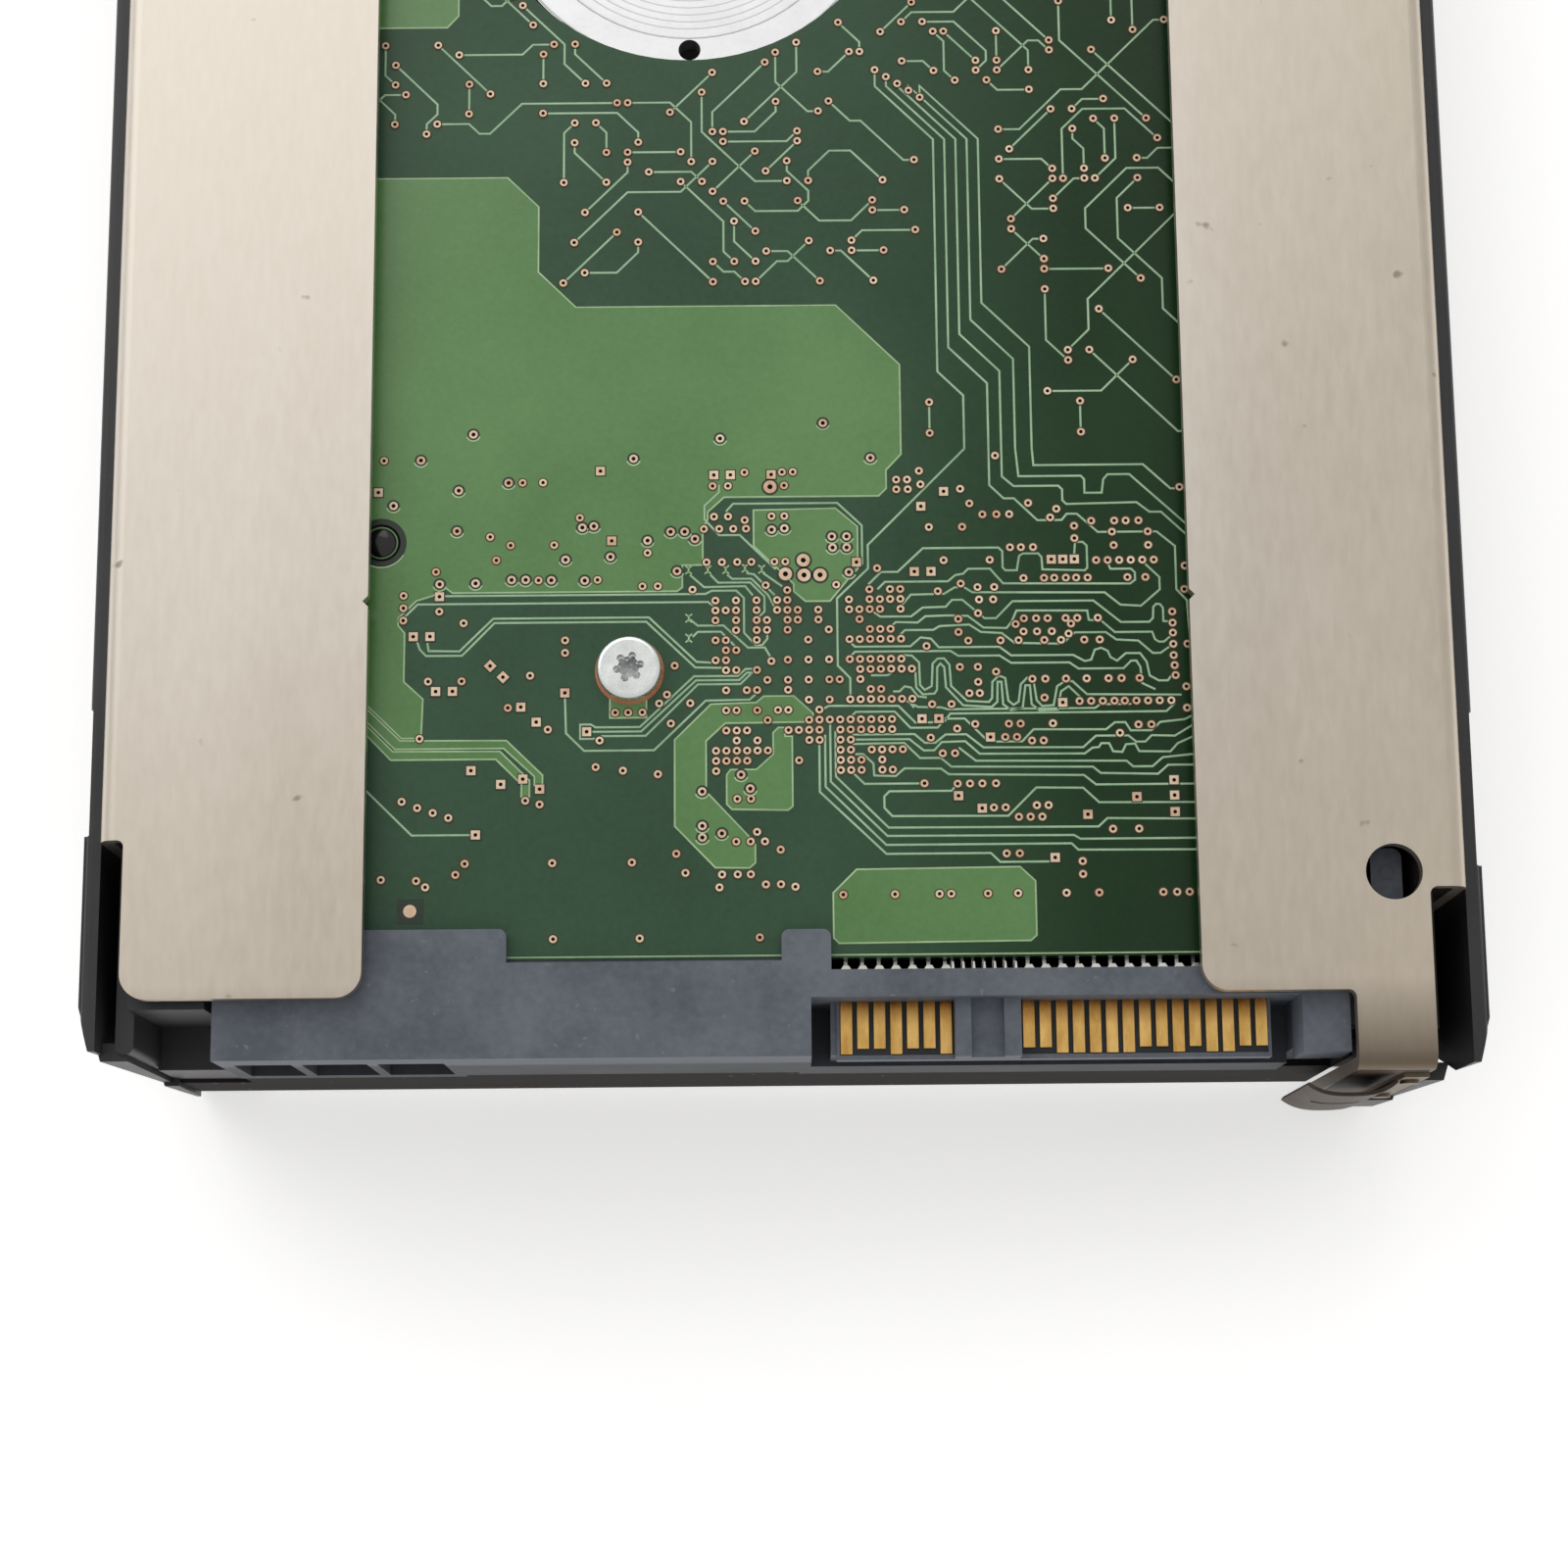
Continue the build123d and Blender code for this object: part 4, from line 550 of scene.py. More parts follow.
# Tracks, each as the points of its line.
TRACKS = [
    [(-26.5, 36.35), (-5.8, 36.35), (-5.3, 36.6), (-3.4, 36.6), (-2.8, 36.0), (-2.8, 33.2), (-1.9, 32.2),
     (-1.4, 32.2), (-1.0, 32.7), (-1.0, 33.3)],
    [(-29.3, 34.6), (-28.2, 35.7), (-5.6, 35.7), (-5.2, 35.4)],
    [(-28.2, 32.7), (-28.0, 32.1), (-27.5, 31.55), (-24.7, 31.55), (-22.2, 34.15), (-10.4, 34.15),
     (-6.6, 30.45), (-4.5, 30.4)],
    [(-27.4, 32.6), (-27.3, 31.95), (-24.9, 31.9), (-22.3, 34.5), (-10.2, 34.5), (-6.5, 30.9),
     (-5.0, 30.8)],
    [(-1.8, 30.3), (-2.7, 30.3), (-3.3, 29.75), (-6.7, 29.75), (-10.9, 25.75), (-14.3, 25.75),
     (-14.7, 25.98), (-15.5, 25.98), (-15.5, 24.85), (-14.3, 24.85)],
    [(-1.8, 30.0), (-2.6, 30.0), (-3.2, 29.42), (-6.55, 29.42), (-10.8, 25.4), (-14.8, 25.4)],
    [(-2.3, 29.9), (-3.1, 29.1), (-6.4, 29.1), (-10.45, 25.05), (-13.9, 25.05)],
    [(-1.8, 28.4), (-2.4, 27.85), (-5.8, 27.8), (-9.8, 23.9), (-15.2, 23.9), (-16.6, 25.3), (-16.7, 28.4)],
    [(-7.0, 37.9), (-5.9, 36.9), (-2.7, 36.95), (-2.1, 36.2)],
    [(-5.4, 37.9), (-4.8, 37.25), (-2.3, 37.25), (-1.2, 36.1), (-1.2, 34.9), (-1.6, 34.5)],
    [(-4.1, 37.9), (-3.7, 37.55), (-2.2, 37.55), (-0.9, 36.2), (-0.4, 35.2)],
    [(-2.6, 38.0), (-2.0, 37.9), (-0.4, 36.2)],
    [(-1.3, 38.0), (0.2, 36.9)],
    [(-7.0, 34.3), (-6.4, 33.8), (-4.4, 33.8), (-2.5, 32.0), (-1.2, 32.0), (-0.8, 31.3)],
    [(-6.8, 32.9), (-6.4, 33.3), (-4.6, 33.3), (-3.4, 32.0)],
    [(-33, 21.9), (-28.4, 17.35), (-23.6, 17.35)],
    [(-4.7, 45.2), (-4.7, 44.6), (-5.85, 43.5), (-5.85, 42.4), (-4.7, 41.1), (-3.1, 41.1), (-0.3, 38.3)],
    [(-4.1, 42.7), (-4.1, 43.1), (-3.6, 43.65), (4.55, 43.65), (6.45, 41.8), (6.45, 38.6)],
    [(14.6, 48), (6.9, 40.2), (6.9, 38.3), (4.45, 35.9), (4.45, 30.5), (5.4, 29.5), (5.4, 27.9)],
    [(19.9, 48), (20.0, 46.6), (28.6, 46.6), (30.7, 44.6), (34, 44.6)],
    [(18.6, 48), (18.8, 45.7), (23.7, 45.7), (23.95, 45.4), (23.95, 44.3), (25.3, 44.3), (25.45, 45.4),
     (25.8, 45.8), (27.5, 45.8), (33, 40.6)],
    [(17.5, 48), (17.5, 45.7), (18.4, 44.9), (21.9, 44.9), (22.2, 44.6), (22.2, 43.7), (22.5, 43.4),
     (28.0, 43.5), (29.0, 42.7), (29.9, 42.7), (33, 39.7)],
    [(16.5, 48), (16.5, 45.0), (17.6, 43.9), (18.4, 43.9), (20.2, 42.1), (22.1, 42.1), (22.5, 42.6),
     (23.3, 42.6), (24.9, 41.1), (29.5, 41.1), (30.9, 39.9), (30.9, 36.4), (31.7, 35.5), (31.8, 33.0)],
    [(6.9, 37.0), (7.9, 38.0), (9.2, 38.0), (11.2, 39.9), (17.1, 39.9), (17.4, 39.6), (17.4, 38.3),
     (17.6, 38.05), (18.5, 38.05), (18.7, 39.2), (19.0, 39.4), (20.2, 39.4), (20.45, 39.1), (20.5, 38.1),
     (23.8, 38.0), (24.0, 38.2), (24.0, 40.0), (23.7, 40.3), (23.1, 40.3), (23.0, 39.2)],
    [(7.6, 36.6), (8.2, 37.2), (13.1, 37.2), (13.7, 37.7), (14.3, 37.8), (14.7, 38.2), (16.4, 38.2),
     (17.4, 37.0), (27.3, 36.9), (27.7, 37.2), (27.7, 37.8), (27.4, 38.1), (25.8, 38.1), (25.6, 38.6)],
    [(9.4, 35.2), (10.2, 36.15), (12.8, 36.2), (13.6, 36.7), (14.3, 36.75), (15.0, 36.3), (25.3, 36.2),
     (26.5, 35.2), (28.1, 35.1), (29.6, 36.4), (29.6, 37.4), (28.5, 38.5)],
    [(7.1, 34.9), (7.8, 34.4), (10.2, 34.4), (11.1, 35.1), (12.9, 35.15), (13.4, 35.7), (14.2, 35.7),
     (15.9, 34.2), (16.8, 34.2), (18.1, 35.55), (24.4, 35.55), (26.5, 33.8), (28.7, 33.8), (29.0, 34.1),
     (29.05, 35.0), (29.3, 35.25), (29.6, 35.2), (29.8, 34.9), (29.8, 33.85), (30.5, 33.8)],
    [(8.5, 33.5), (9.0, 33.95), (10.7, 33.9), (11.3, 34.4), (13.0, 34.45), (14.6, 34.4), (15.8, 33.45),
     (17.6, 33.4), (18.0, 33.9), (18.4, 34.8), (23.9, 34.75), (24.0, 34.0), (25.0, 33.9), (26.0, 33.0),
     (28.9, 33.0), (29.1, 32.4), (29.4, 32.2), (29.8, 32.2), (30.5, 32.8)],
    [(9.3, 32.9), (9.7, 33.3), (11.9, 33.3), (12.4, 33.6), (14.7, 33.7), (15.6, 33.1), (17.2, 33.0),
     (18.2, 32.2), (21.9, 32.1), (22.9, 33.0), (25.3, 33.0), (26.1, 32.4), (27.8, 32.3), (28.9, 31.3),
     (29.5, 31.3), (30.5, 32.0)],
    [(5.4, 32.4), (5.8, 32.0), (10.1, 32.0), (10.9, 32.7), (11.7, 32.6), (12.3, 31.9), (17.0, 31.9),
     (17.9, 31.2), (22.7, 31.2), (23.6, 30.7), (24.1, 30.8), (24.4, 31.6), (24.9, 31.75), (25.4, 31.5),
     (25.6, 31.0), (26.1, 30.7), (26.8, 31.3), (27.9, 31.3), (28.4, 30.6), (28.6, 29.5), (29.3, 29.1),
     (30.0, 29.1), (30.6, 29.9)],
    [(5.4, 31.2), (5.8, 31.6), (13.2, 31.6), (13.8, 31.2), (17.0, 31.2), (17.9, 30.6), (22.4, 30.6),
     (23.1, 30.1), (26.6, 30.1), (27.2, 30.7), (27.6, 30.7), (27.9, 30.2), (28.0, 28.9), (29.0, 28.4)],
    [(9.5, 31.3), (10.2, 31.25), (10.75, 30.7), (10.8, 28.9), (11.15, 28.5), (11.7, 28.8), (11.8, 30.6),
     (12.2, 31.0), (12.7, 31.0), (13.1, 30.5), (13.2, 28.8), (14.4, 27.6), (16.1, 27.5), (16.35, 27.8),
     (16.4, 29.1), (16.9, 29.6), (17.4, 29.4), (17.6, 27.6), (18.0, 27.25), (18.4, 27.5), (18.6, 28.9),
     (19.1, 29.4), (19.6, 29.1), (19.8, 27.6), (20.2, 27.15), (21.1, 27.2), (21.4, 28.7), (22.0, 29.1),
     (22.6, 29.1), (23.7, 28.05), (31, 27.95)],
    [(10.2, 30.3), (10.45, 30.0), (10.5, 28.7), (11.0, 28.15), (11.9, 28.2), (12.1, 28.5), (12.15, 30.3),
     (12.4, 30.6), (12.7, 30.3), (12.8, 28.7), (14.1, 27.25), (16.3, 27.1), (16.75, 27.5), (16.8, 29.1),
     (17.1, 29.1), (17.2, 27.3), (17.8, 26.85), (18.7, 27.0), (18.95, 28.8), (19.3, 28.8), (19.4, 27.3),
     (20.0, 26.8), (21.4, 26.85), (21.7, 28.3), (22.3, 28.7), (23.3, 27.7)],
    [(7.0, 29.7), (8.3, 29.7), (8.8, 30.0)],
    [(8.7, 28.4), (9.2, 28.4), (9.6, 28.8), (10.1, 28.7), (10.6, 28.0), (11.3, 27.9)],
    [(3.2, 27.0), (3.7, 27.3), (9.1, 27.25), (10.4, 25.9), (12.6, 25.95), (13.1, 26.6), (29.8, 26.65),
     (30.5, 27.3)],
    [(5.4, 26.4), (5.8, 26.8), (8.8, 26.8), (10.0, 25.5), (12.1, 25.5), (12.7, 26.2), (14.2, 26.2),
     (16.0, 24.35), (18.6, 24.35), (19.5, 25.3), (25.1, 25.25), (25.8, 25.8), (26.6, 25.8), (27.0, 25.15),
     (28.6, 25.15), (29.3, 25.8), (31.2, 26.0), (32.4, 26.6)],
    [(10.2, 27.4), (10.6, 27.15), (12.4, 27.1), (12.9, 26.95), (24.3, 26.95), (24.7, 27.25), (27.1, 27.25)],
    [(5.5, 25.0), (10.3, 25.0), (11.1, 24.3), (11.9, 24.3), (12.7, 24.95), (14.3, 24.95), (15.6, 23.9),
     (23.3, 23.85), (24.3, 24.75), (26.8, 24.75), (27.4, 24.25), (28.1, 24.25), (28.6, 24.75), (30.4, 24.7),
     (32.4, 25.9)],
    [(5.5, 24.6), (9.9, 24.6), (11.0, 23.7), (11.8, 23.7), (12.4, 24.35), (14.2, 24.4), (15.3, 23.4),
     (23.4, 23.35), (24.0, 23.8), (24.5, 23.85), (24.7, 24.15), (25.3, 24.15), (25.6, 23.5), (26.3, 23.45),
     (26.6, 24.05), (27.3, 24.1), (27.6, 23.5), (30.0, 23.45), (30.6, 24.1), (32.4, 24.9)],
    [(5.5, 24.25), (9.5, 24.3), (10.7, 23.1), (12.3, 23.1), (13.1, 22.4), (24.0, 22.3), (24.6, 21.8),
     (29.0, 21.7), (29.8, 22.4), (32.4, 22.4)],
    [(5.7, 23.45), (6.3, 23.45), (7.1, 22.7), (7.15, 21.75), (8.8, 21.7), (9.5, 22.3), (12.3, 22.25),
     (12.9, 21.8), (23.3, 21.65), (24.2, 20.9), (32.4, 20.9)],
    [(13.7, 23.9), (15.0, 22.85), (26.6, 22.75), (27.1, 22.3), (28.6, 22.3), (29.4, 23.0), (32.4, 23.3)],
    [(5.5, 22.0), (6.4, 21.1), (10.8, 21.1)],
    [(13.4, 20.9), (13.1, 20.5), (8.3, 20.5), (7.9, 20.1), (7.9, 19.2), (8.5, 18.55), (17.4, 18.5),
     (19.6, 20.7), (23.2, 20.65), (24.4, 19.5), (32.4, 19.45)],
    [(2.95, 24.3), (2.95, 20.5), (8.0, 15.6), (16.0, 15.6), (16.7, 14.9), (20.7, 14.9)],
    [(3.4, 25.0), (3.4, 20.9), (8.0, 16.3), (22.2, 16.3), (22.7, 15.8), (32.4, 15.75)],
    [(3.8, 26.0), (3.8, 21.3), (8.1, 17.0), (22.4, 16.95), (22.9, 16.65), (32.4, 16.65)],
    [(4.2, 25.3), (4.2, 21.7), (8.2, 17.65), (24.3, 17.6), (25.0, 18.25), (32.4, 18.15)],
    [(9.4, 27.8), (10.0, 27.5), (10.3, 27.1)],
]
# The controller's grid of vias, 0.8 mm apart: for each row of the grid, its columns that have a via.
GRID_CORNER = (-5.02, 36.6)
GRID_PITCH = 0.8
GRID_ROWS = [
    (7, 15, 17, 18),
    (0, 2, 4, 6, 7, 13, 15, 16, 17, 18),
    (0, 1, 2, 4, 6, 7, 8, 10, 13, 14, 15, 16, 18),
    (0, 2, 4, 5, 7, 8, 10, 14),
    (2, 4, 5, 7, 11, 15, 16, 17),
    (0, 1, 4, 9, 13, 14, 15, 16, 17, 18),
    (1, 2),
    (0, 1, 7, 9, 11, 13, 14, 15, 16, 17, 18),
    (1, 2, 4, 14, 15, 16, 17, 18, 19),
    (5, 7, 9, 11, 12, 14),
    (1, 3, 4, 7, 15, 16),
    (9, 11, 13, 14, 15, 16, 17, 18, 19),
    (1, 2, 4, 6, 7, 10),
    (5, 9, 10, 11, 12, 13, 14, 15, 16, 17),
    (1, 2, 3, 7, 8, 9, 10, 12, 13, 14, 15, 16, 17),
    (2, 4, 9, 10, 12, 13),
    (0, 1, 2, 3, 4, 5, 12, 13, 15, 16, 17, 18),
    (0, 1, 2, 3, 8, 12, 13, 14, 16),
    (0, 12, 13, 14, 16, 17),
]
# Loose round vias, as rows of (y, x, x, ...).
VIA_ROWS = [
    (47.4, -31.0, 17.0), (46.2, 11.0, -2.7, 0.25, 1.1), (45.5, -20.1, -18.5, 9.2, 10.05),
    (45.1, -5.2, -4.0, 0.4, 11.1), (44.7, 9.2, 10.1, 14.2, 31.4), (43.5, 14.9, 19.5), (43.0, 21.7),
    (42.6, -15.6, 15.9, 17.0, 18.0, -5.1, -4.0, -0.6, 0.4), (42.3, -2.7, 21.2),
    (42.0, 24.4, 26.2, 27.1, 28.1), (41.6, -5.9, -4.7, -3.6, -2.6, 11.7, 14.3, 23.05),
    (41.1, -22.6, 26.0, 28.8), (40.6, 23.05), (40.4, -17.6, -21.0), (40.0, 26.1, 28.8),
    (39.9, 18.0, 18.85, 19.8), (39.7, -10.3), (39.2, -22.1),
    (38.9, -5.7, -4.5, -3.3, -2.2, -0.4, 0.45, 12.8, 16.4), (38.8, 24.7, 25.6, 26.5, 27.4, 28.3, 29.2),
    (38.3, -26.8, 7.6, 31.6), (37.55, -18.8, -14.2), (37.4, 19.0, 20.6, 21.4, 22.3, 23.1, 24.0, 27.1, 28.5),
    (37.0, -10.7, -9.5, -1.1, 14.1, 4.4), (36.7, -6.8, 15.4, 16.7), (36.4, -29.3, 12.3, 31.5),
    (35.7, 15.5, 16.6), (35.1, -26.5), (35.4, -29.3), (34.6, 15.4, 30.5), (34.4, -29.3),
    (34.15, -24.6, 13.85, 18.95, 19.9, 20.8, 22.2, 23.1, 24.7), (33.7, 18.3, 22.6, 30.5),
    (33.1, 13.85, 18.9, 19.95, 21.1), (32.9, 22.4, 30.5), (32.7, -16.7),
    (32.4, 14.6, 17.1, 18.5, 20.5, 21.8, 23.6, 24.8), (32.0, 11.35, 30.5, 31.6), (31.7, -16.7),
    (31.1, 30.5), (30.9, -0.7), (30.6, -8.2), (30.3, 13.9, 15.3, 30.55), (29.9, -19.4, 16.7),
    (29.5, -27.3, -24.7, 30.6), (29.3, 19.5, 20.5, 22.1, 23.7, 25.4, 26.4, 27.8), (29.1, 15.3),
    (28.6, 31.4), (28.3, -8.8), (28.2, 14.6, 15.4), (27.8, 20.4), (27.6, -9.4, -7.0),
    (27.5, 23.1, 24.0, 24.9, 25.8, 26.6, 27.5, 28.4, 29.3, 30.2), (27.35, 11.7, 13.2, -21.1),
    (26.9, -12.8, -11.8, -10.7, 31.4), (26.0, -8.5), (25.75, 15.0, 17.6, 18.5, 21.0),
    (25.6, -18.0, 27.6, 28.6), (25.4, 13.6), (24.95, 26.15, -27.9), (24.7, 17.3, 18.2, 11.55, -14.0),
    (24.4, 19.35, 20.25), (23.45, 12.45, 13.4), (22.6, -14.3), (22.3, -12.2), (22.0, -9.5), (21.1, 11.0),
    (21.05, 13.55, 14.5, 15.45, 16.5), (20.0, -29.2, -19.7, -3.4, -2.35), (19.7, -18.6), (19.5, -28.0),
    (19.3, 19.6, 20.5), (19.15, 16.3, 17.2), (19.1, -26.8), (18.7, -25.6), (18.4, 18.2, 19.1, 20.0),
    (17.4, -1.9, 25.4, 27.4), (16.65, -3.5, -2.4, -1.3), (16.0, -0.1), (15.75, -8.1), (15.55, 17.2, 18.2),
    (15.1, -24.3, -17.6, -11.5), (14.9, 23.0), (14.25, -25.0, -7.4), (14.1, -4.6, -3.4, -2.4),
    (13.9, 23.0, -30.7), (13.8, -28.0), (13.3, -27.3, -1.25, -0.1), (13.1, -4.8, 1.0),
    (12.45, 4.65, 8.6, 12.0, 12.9, 15.7, 18.0, 21.7, 24.2, 29.1, 30.15, 31.1), (9.2, -17.5, -10.9, -1.75),
]
# Vias with a clear ring round them, in the copper areas.
RINGED = [
    (-28.1, 47.4), (-21.2, 45.5), (-25.1, 44.9), (-30.2, 43.7), (-15.4, 41.8), (-14.5, 41.9), (-25.2, 41.6),
    (-8.5, 41.4), (-7.4, 41.4), (-6.6, 40.8), (-10.3, 40.7), (-13.2, 39.4), (-16.7, 39.2), (-8.0, 38.2),
    (-26.5, 37.3), (-23.7, 37.35), (-20.9, 37.6), (-19.8, 37.6), (-17.8, 37.55), (-15.2, 37.5),
    (-0.6, 41.5), (0.4, 41.6), (4.1, 40.9), (5.25, 40.9), (4.15, 40.0), (5.25, 40.0), (5.4, 38.0),
    (7.2, 47.3), (-6.1, 20.6), (-6.1, 17.9), (-6.1, 17.0), (-4.6, 17.3), (-3.1, 21.9), (-2.4, 20.8),
    (-11.4, 47.4), (-24.0, 49.5), (-4.6, 49.0), (3.5, 50.2),
]
# Vias with a wider pad.
WIDE_VIAS = [
    (1.85, 39.0), (0.45, 37.9), (1.9, 37.8), (3.15, 37.8), (-0.7, 45.0),
]
# Square pads with a via, (x, y, turn in degrees).
SQUARES = [
    (-14.0, 46.4, 0), (-5.1, 46.0, 0), (-3.8, 46.0, 0), (-0.6, 46.0, 0), (-31.4, 44.8, 0), (-13.1, 40.7, 0),
    (-26.5, 36.3, 0), (-28.5, 33.1, 0), (-27.2, 33.1, 0), (-22.5, 30.7, 45), (-21.5, 29.8, 45),
    (-26.7, 28.7, 0), (-25.4, 28.7, 0), (-16.7, 28.5, 0), (-20.1, 27.4, 0), (-18.9, 26.2, 0),
    (-15.0, 25.4, 0), (-23.9, 22.4, 0), (-21.6, 21.3, 0), (-19.9, 21.7, 0), (-18.6, 20.9, 0),
    (-23.5, 17.35, 0), (11.1, 43.3, 0), (12.9, 44.5, 0), (6.0, 38.8, 0), (10.5, 38.0, 0), (11.8, 38.0, 0),
    (21.2, 38.9, 0), (22.1, 38.9, 0), (23.0, 38.9, 0), (21.8, 27.4, 0), (10.9, 26.2, 0), (12.2, 26.2, 0),
    (16.15, 24.7, 0), (13.6, 20.1, 0), (15.4, 19.1, 0), (30.2, 21.2, 0), (30.2, 20.0, 0), (30.2, 18.7, 0),
    (27.3, 19.9, 0), (23.5, 18.55, 0), (20.9, 15.2, 0),
]
# The centres of the board's screws.
SCREWS = [
    (-11.7, 30.2), (-39.5, 20.0), (39.0, 62.0), (-39.5, 112.0), (36.5, 116.0),
]
# The centre of the board's locating post.
POST = (-31.1, 40.7)
# The centres of the H-shaped marks beside the controller.
MARKS = [
    (-7.1, 34.4), (-7.1, 32.8), (-7.1, 38.3), (-5.6, 38.3), (-4.2, 38.3), (-2.7, 38.4), (-1.4, 38.3),
]
# The board's far part: what its tracks go round, its bus, and the grid that its wandering lines follow.
SPINDLE, MOTOR_CUT_R, LEAD_OUT_HALF = (-7, 98), 17.3, 6.3
SCREW_CLEAR = 2.9
FAR_LOW, FAR_HIGH, FAR_HALF = 49, 120, 32.5
BUS_START_X, BUS_PITCH = (14.6, 16.5, 17.5, 18.6, 19.9), 0.9
FAR_PITCH = 0.85
START_COLUMNS, START_ROWS = (-38, 38), (58, 141)
TRIES, STEPS, LEAST_CELLS, TURN_CHANCE = 900, (5, 34), 4, 0.22


def is_blocked(x, y, margin=0.4):
    """True where the board's far part has no room: the motor's cut-out and lead-out, a screw, a pour."""
    from_spindle = x - SPINDLE[0]
    if math.hypot(from_spindle, y - SPINDLE[1]) < MOTOR_CUT_R + margin:
        return True
    if abs(from_spindle) < LEAD_OUT_HALF + margin and y > SPINDLE[1]:
        return True
    if any(math.hypot(x - sx, y - sy) < SCREW_CLEAR + margin for sx, sy in SCREWS):
        return True
    in_first_pour = x < 10.4 + margin and y < 61 + margin or x < -18 + margin and y < 72 + margin
    in_right_pour = x > 12.8 - margin and y > 88 - margin
    in_left_pour = x < -24.8 + margin and 83 - margin < y < 114.5 + margin
    return in_first_pour or in_right_pour or in_left_pour


def bus_lines():
    """Five lines side by side that climb from the controller towards the motor."""
    lines = []
    for k, x in enumerate(BUS_START_X):
        shift = k * BUS_PITCH
        lane, last_lane, bend = 12.6 + shift, 8.0 + shift, 52.4 + k
        lines.append([(x, 48), (x, bend), (lane, bend + (x - 12.6 - shift)), (lane, 74),
                      (last_lane, 78.6), (last_lane, 80 - k * 0.6)])
    return lines


def cells_along(line, samples=40):
    """The grid cells within one cell of a line."""
    cells = set()
    for (xa, ya), (xb, yb) in zip(line, line[1:]):
        for k in range(samples + 1):
            i = round((xa + (xb - xa) * k / samples) / FAR_PITCH)
            j = round((ya + (yb - ya) * k / samples) / FAR_PITCH)
            cells.update((i + di, j + dj) for di in (-1, 0, 1) for dj in (-1, 0, 1))
    return cells


def wandering_lines(taken):
    """Seeded lines that wander over the free cells of a grid, turning by 45 degrees at a time."""
    headings = [(1, 0), (1, 1), (0, 1), (-1, 1), (-1, 0), (-1, -1), (0, -1), (1, -1)]

    def is_free(cell):
        x, y = cell[0] * FAR_PITCH, cell[1] * FAR_PITCH
        on_board = abs(x) < FAR_HALF and FAR_LOW < y < FAR_HIGH
        return on_board and cell not in taken and not is_blocked(x, y)

    lines = []
    for _ in range(TRIES):
        cell = (random.randint(*START_COLUMNS), random.randint(*START_ROWS))
        heading, path = random.randrange(8), [cell]
        if not is_free(cell):
            continue
        for _ in range(random.randint(*STEPS)):
            if random.random() < TURN_CHANCE:
                heading = (heading + random.choice((-1, 1))) % 8
            di, dj = headings[heading]
            ahead = (path[-1][0] + di, path[-1][1] + dj)
            if not is_free(ahead) or ahead in path:
                break
            path.append(ahead)
        if len(path) < LEAST_CELLS:
            continue
        taken.update(path)
        lines.append([(i * FAR_PITCH, j * FAR_PITCH) for i, j in path])
    return lines


def all_vias():
    vias = [(x, row[0]) for row in VIA_ROWS for x in row[1:]]
    for j, row in enumerate(GRID_ROWS):
        for k in row:
            vias.append((GRID_CORNER[0] + k * GRID_PITCH, GRID_CORNER[1] - j * GRID_PITCH))
    return vias


# Heights above the board's face, in millimetres.
POUR_UP, TRACK_UP, SQUARE_GAP_UP, RIM_UP = 0.03, 0.04, 0.042, 0.045
GAP_UP, HOLE_UP, POST_HALO_UP, RING_UP, SQUARE_HOLE_UP = 0.05, 0.055, 0.06, 0.07, 0.075
SUNK = 0.01
TRACK_WIDTH, RIM_WIDTH, EDGE_WIDTH = 0.19, 0.16, 0.12
VIA_SLOPE = 0.03
SCREW_HEAD_UP, SOCKET_DEPTH = 0.41, 0.05
SOCKET_POINTS, LOBES, SOCKET_TURN, SOCKET_R, LOBE_R = 36, 6, 12, 0.93, 0.23
TEST_POINT, PAD_SIDES = (-28.45, 11.45), 28


def lay_copper(far):
    """The copper areas, each with a rim of painted highlight, and all tracks."""
    top = BOARD_TOP
    pours, rim_highlights, tracks = Shapes(), Shapes(), Shapes()
    for outline in POURS:
        pours.prism(outline, top - SUNK, top + POUR_UP)
        rim_highlights.strip(outline, RIM_WIDTH, top, top + RIM_UP, closed=True, slope=0.04)
    for line in TRACKS + far:
        tracks.strip(line, TRACK_WIDTH, top - SUNK, top + TRACK_UP, slope=0.04)
    add_piece("board_pours", pours, POUR)
    add_piece("board_pour_rim_highlights", rim_highlights, HIGHLIGHT_AND_MARKS)
    add_piece("board_tracks", tracks, TRACE)


def square(x, y, half, turn):
    """The corners of a square pad."""
    angles = [math.radians(turn + 45 + 90 * k) for k in range(4)]
    return [(x + half * 1.414 * math.cos(a), y + half * 1.414 * math.sin(a)) for a in angles]


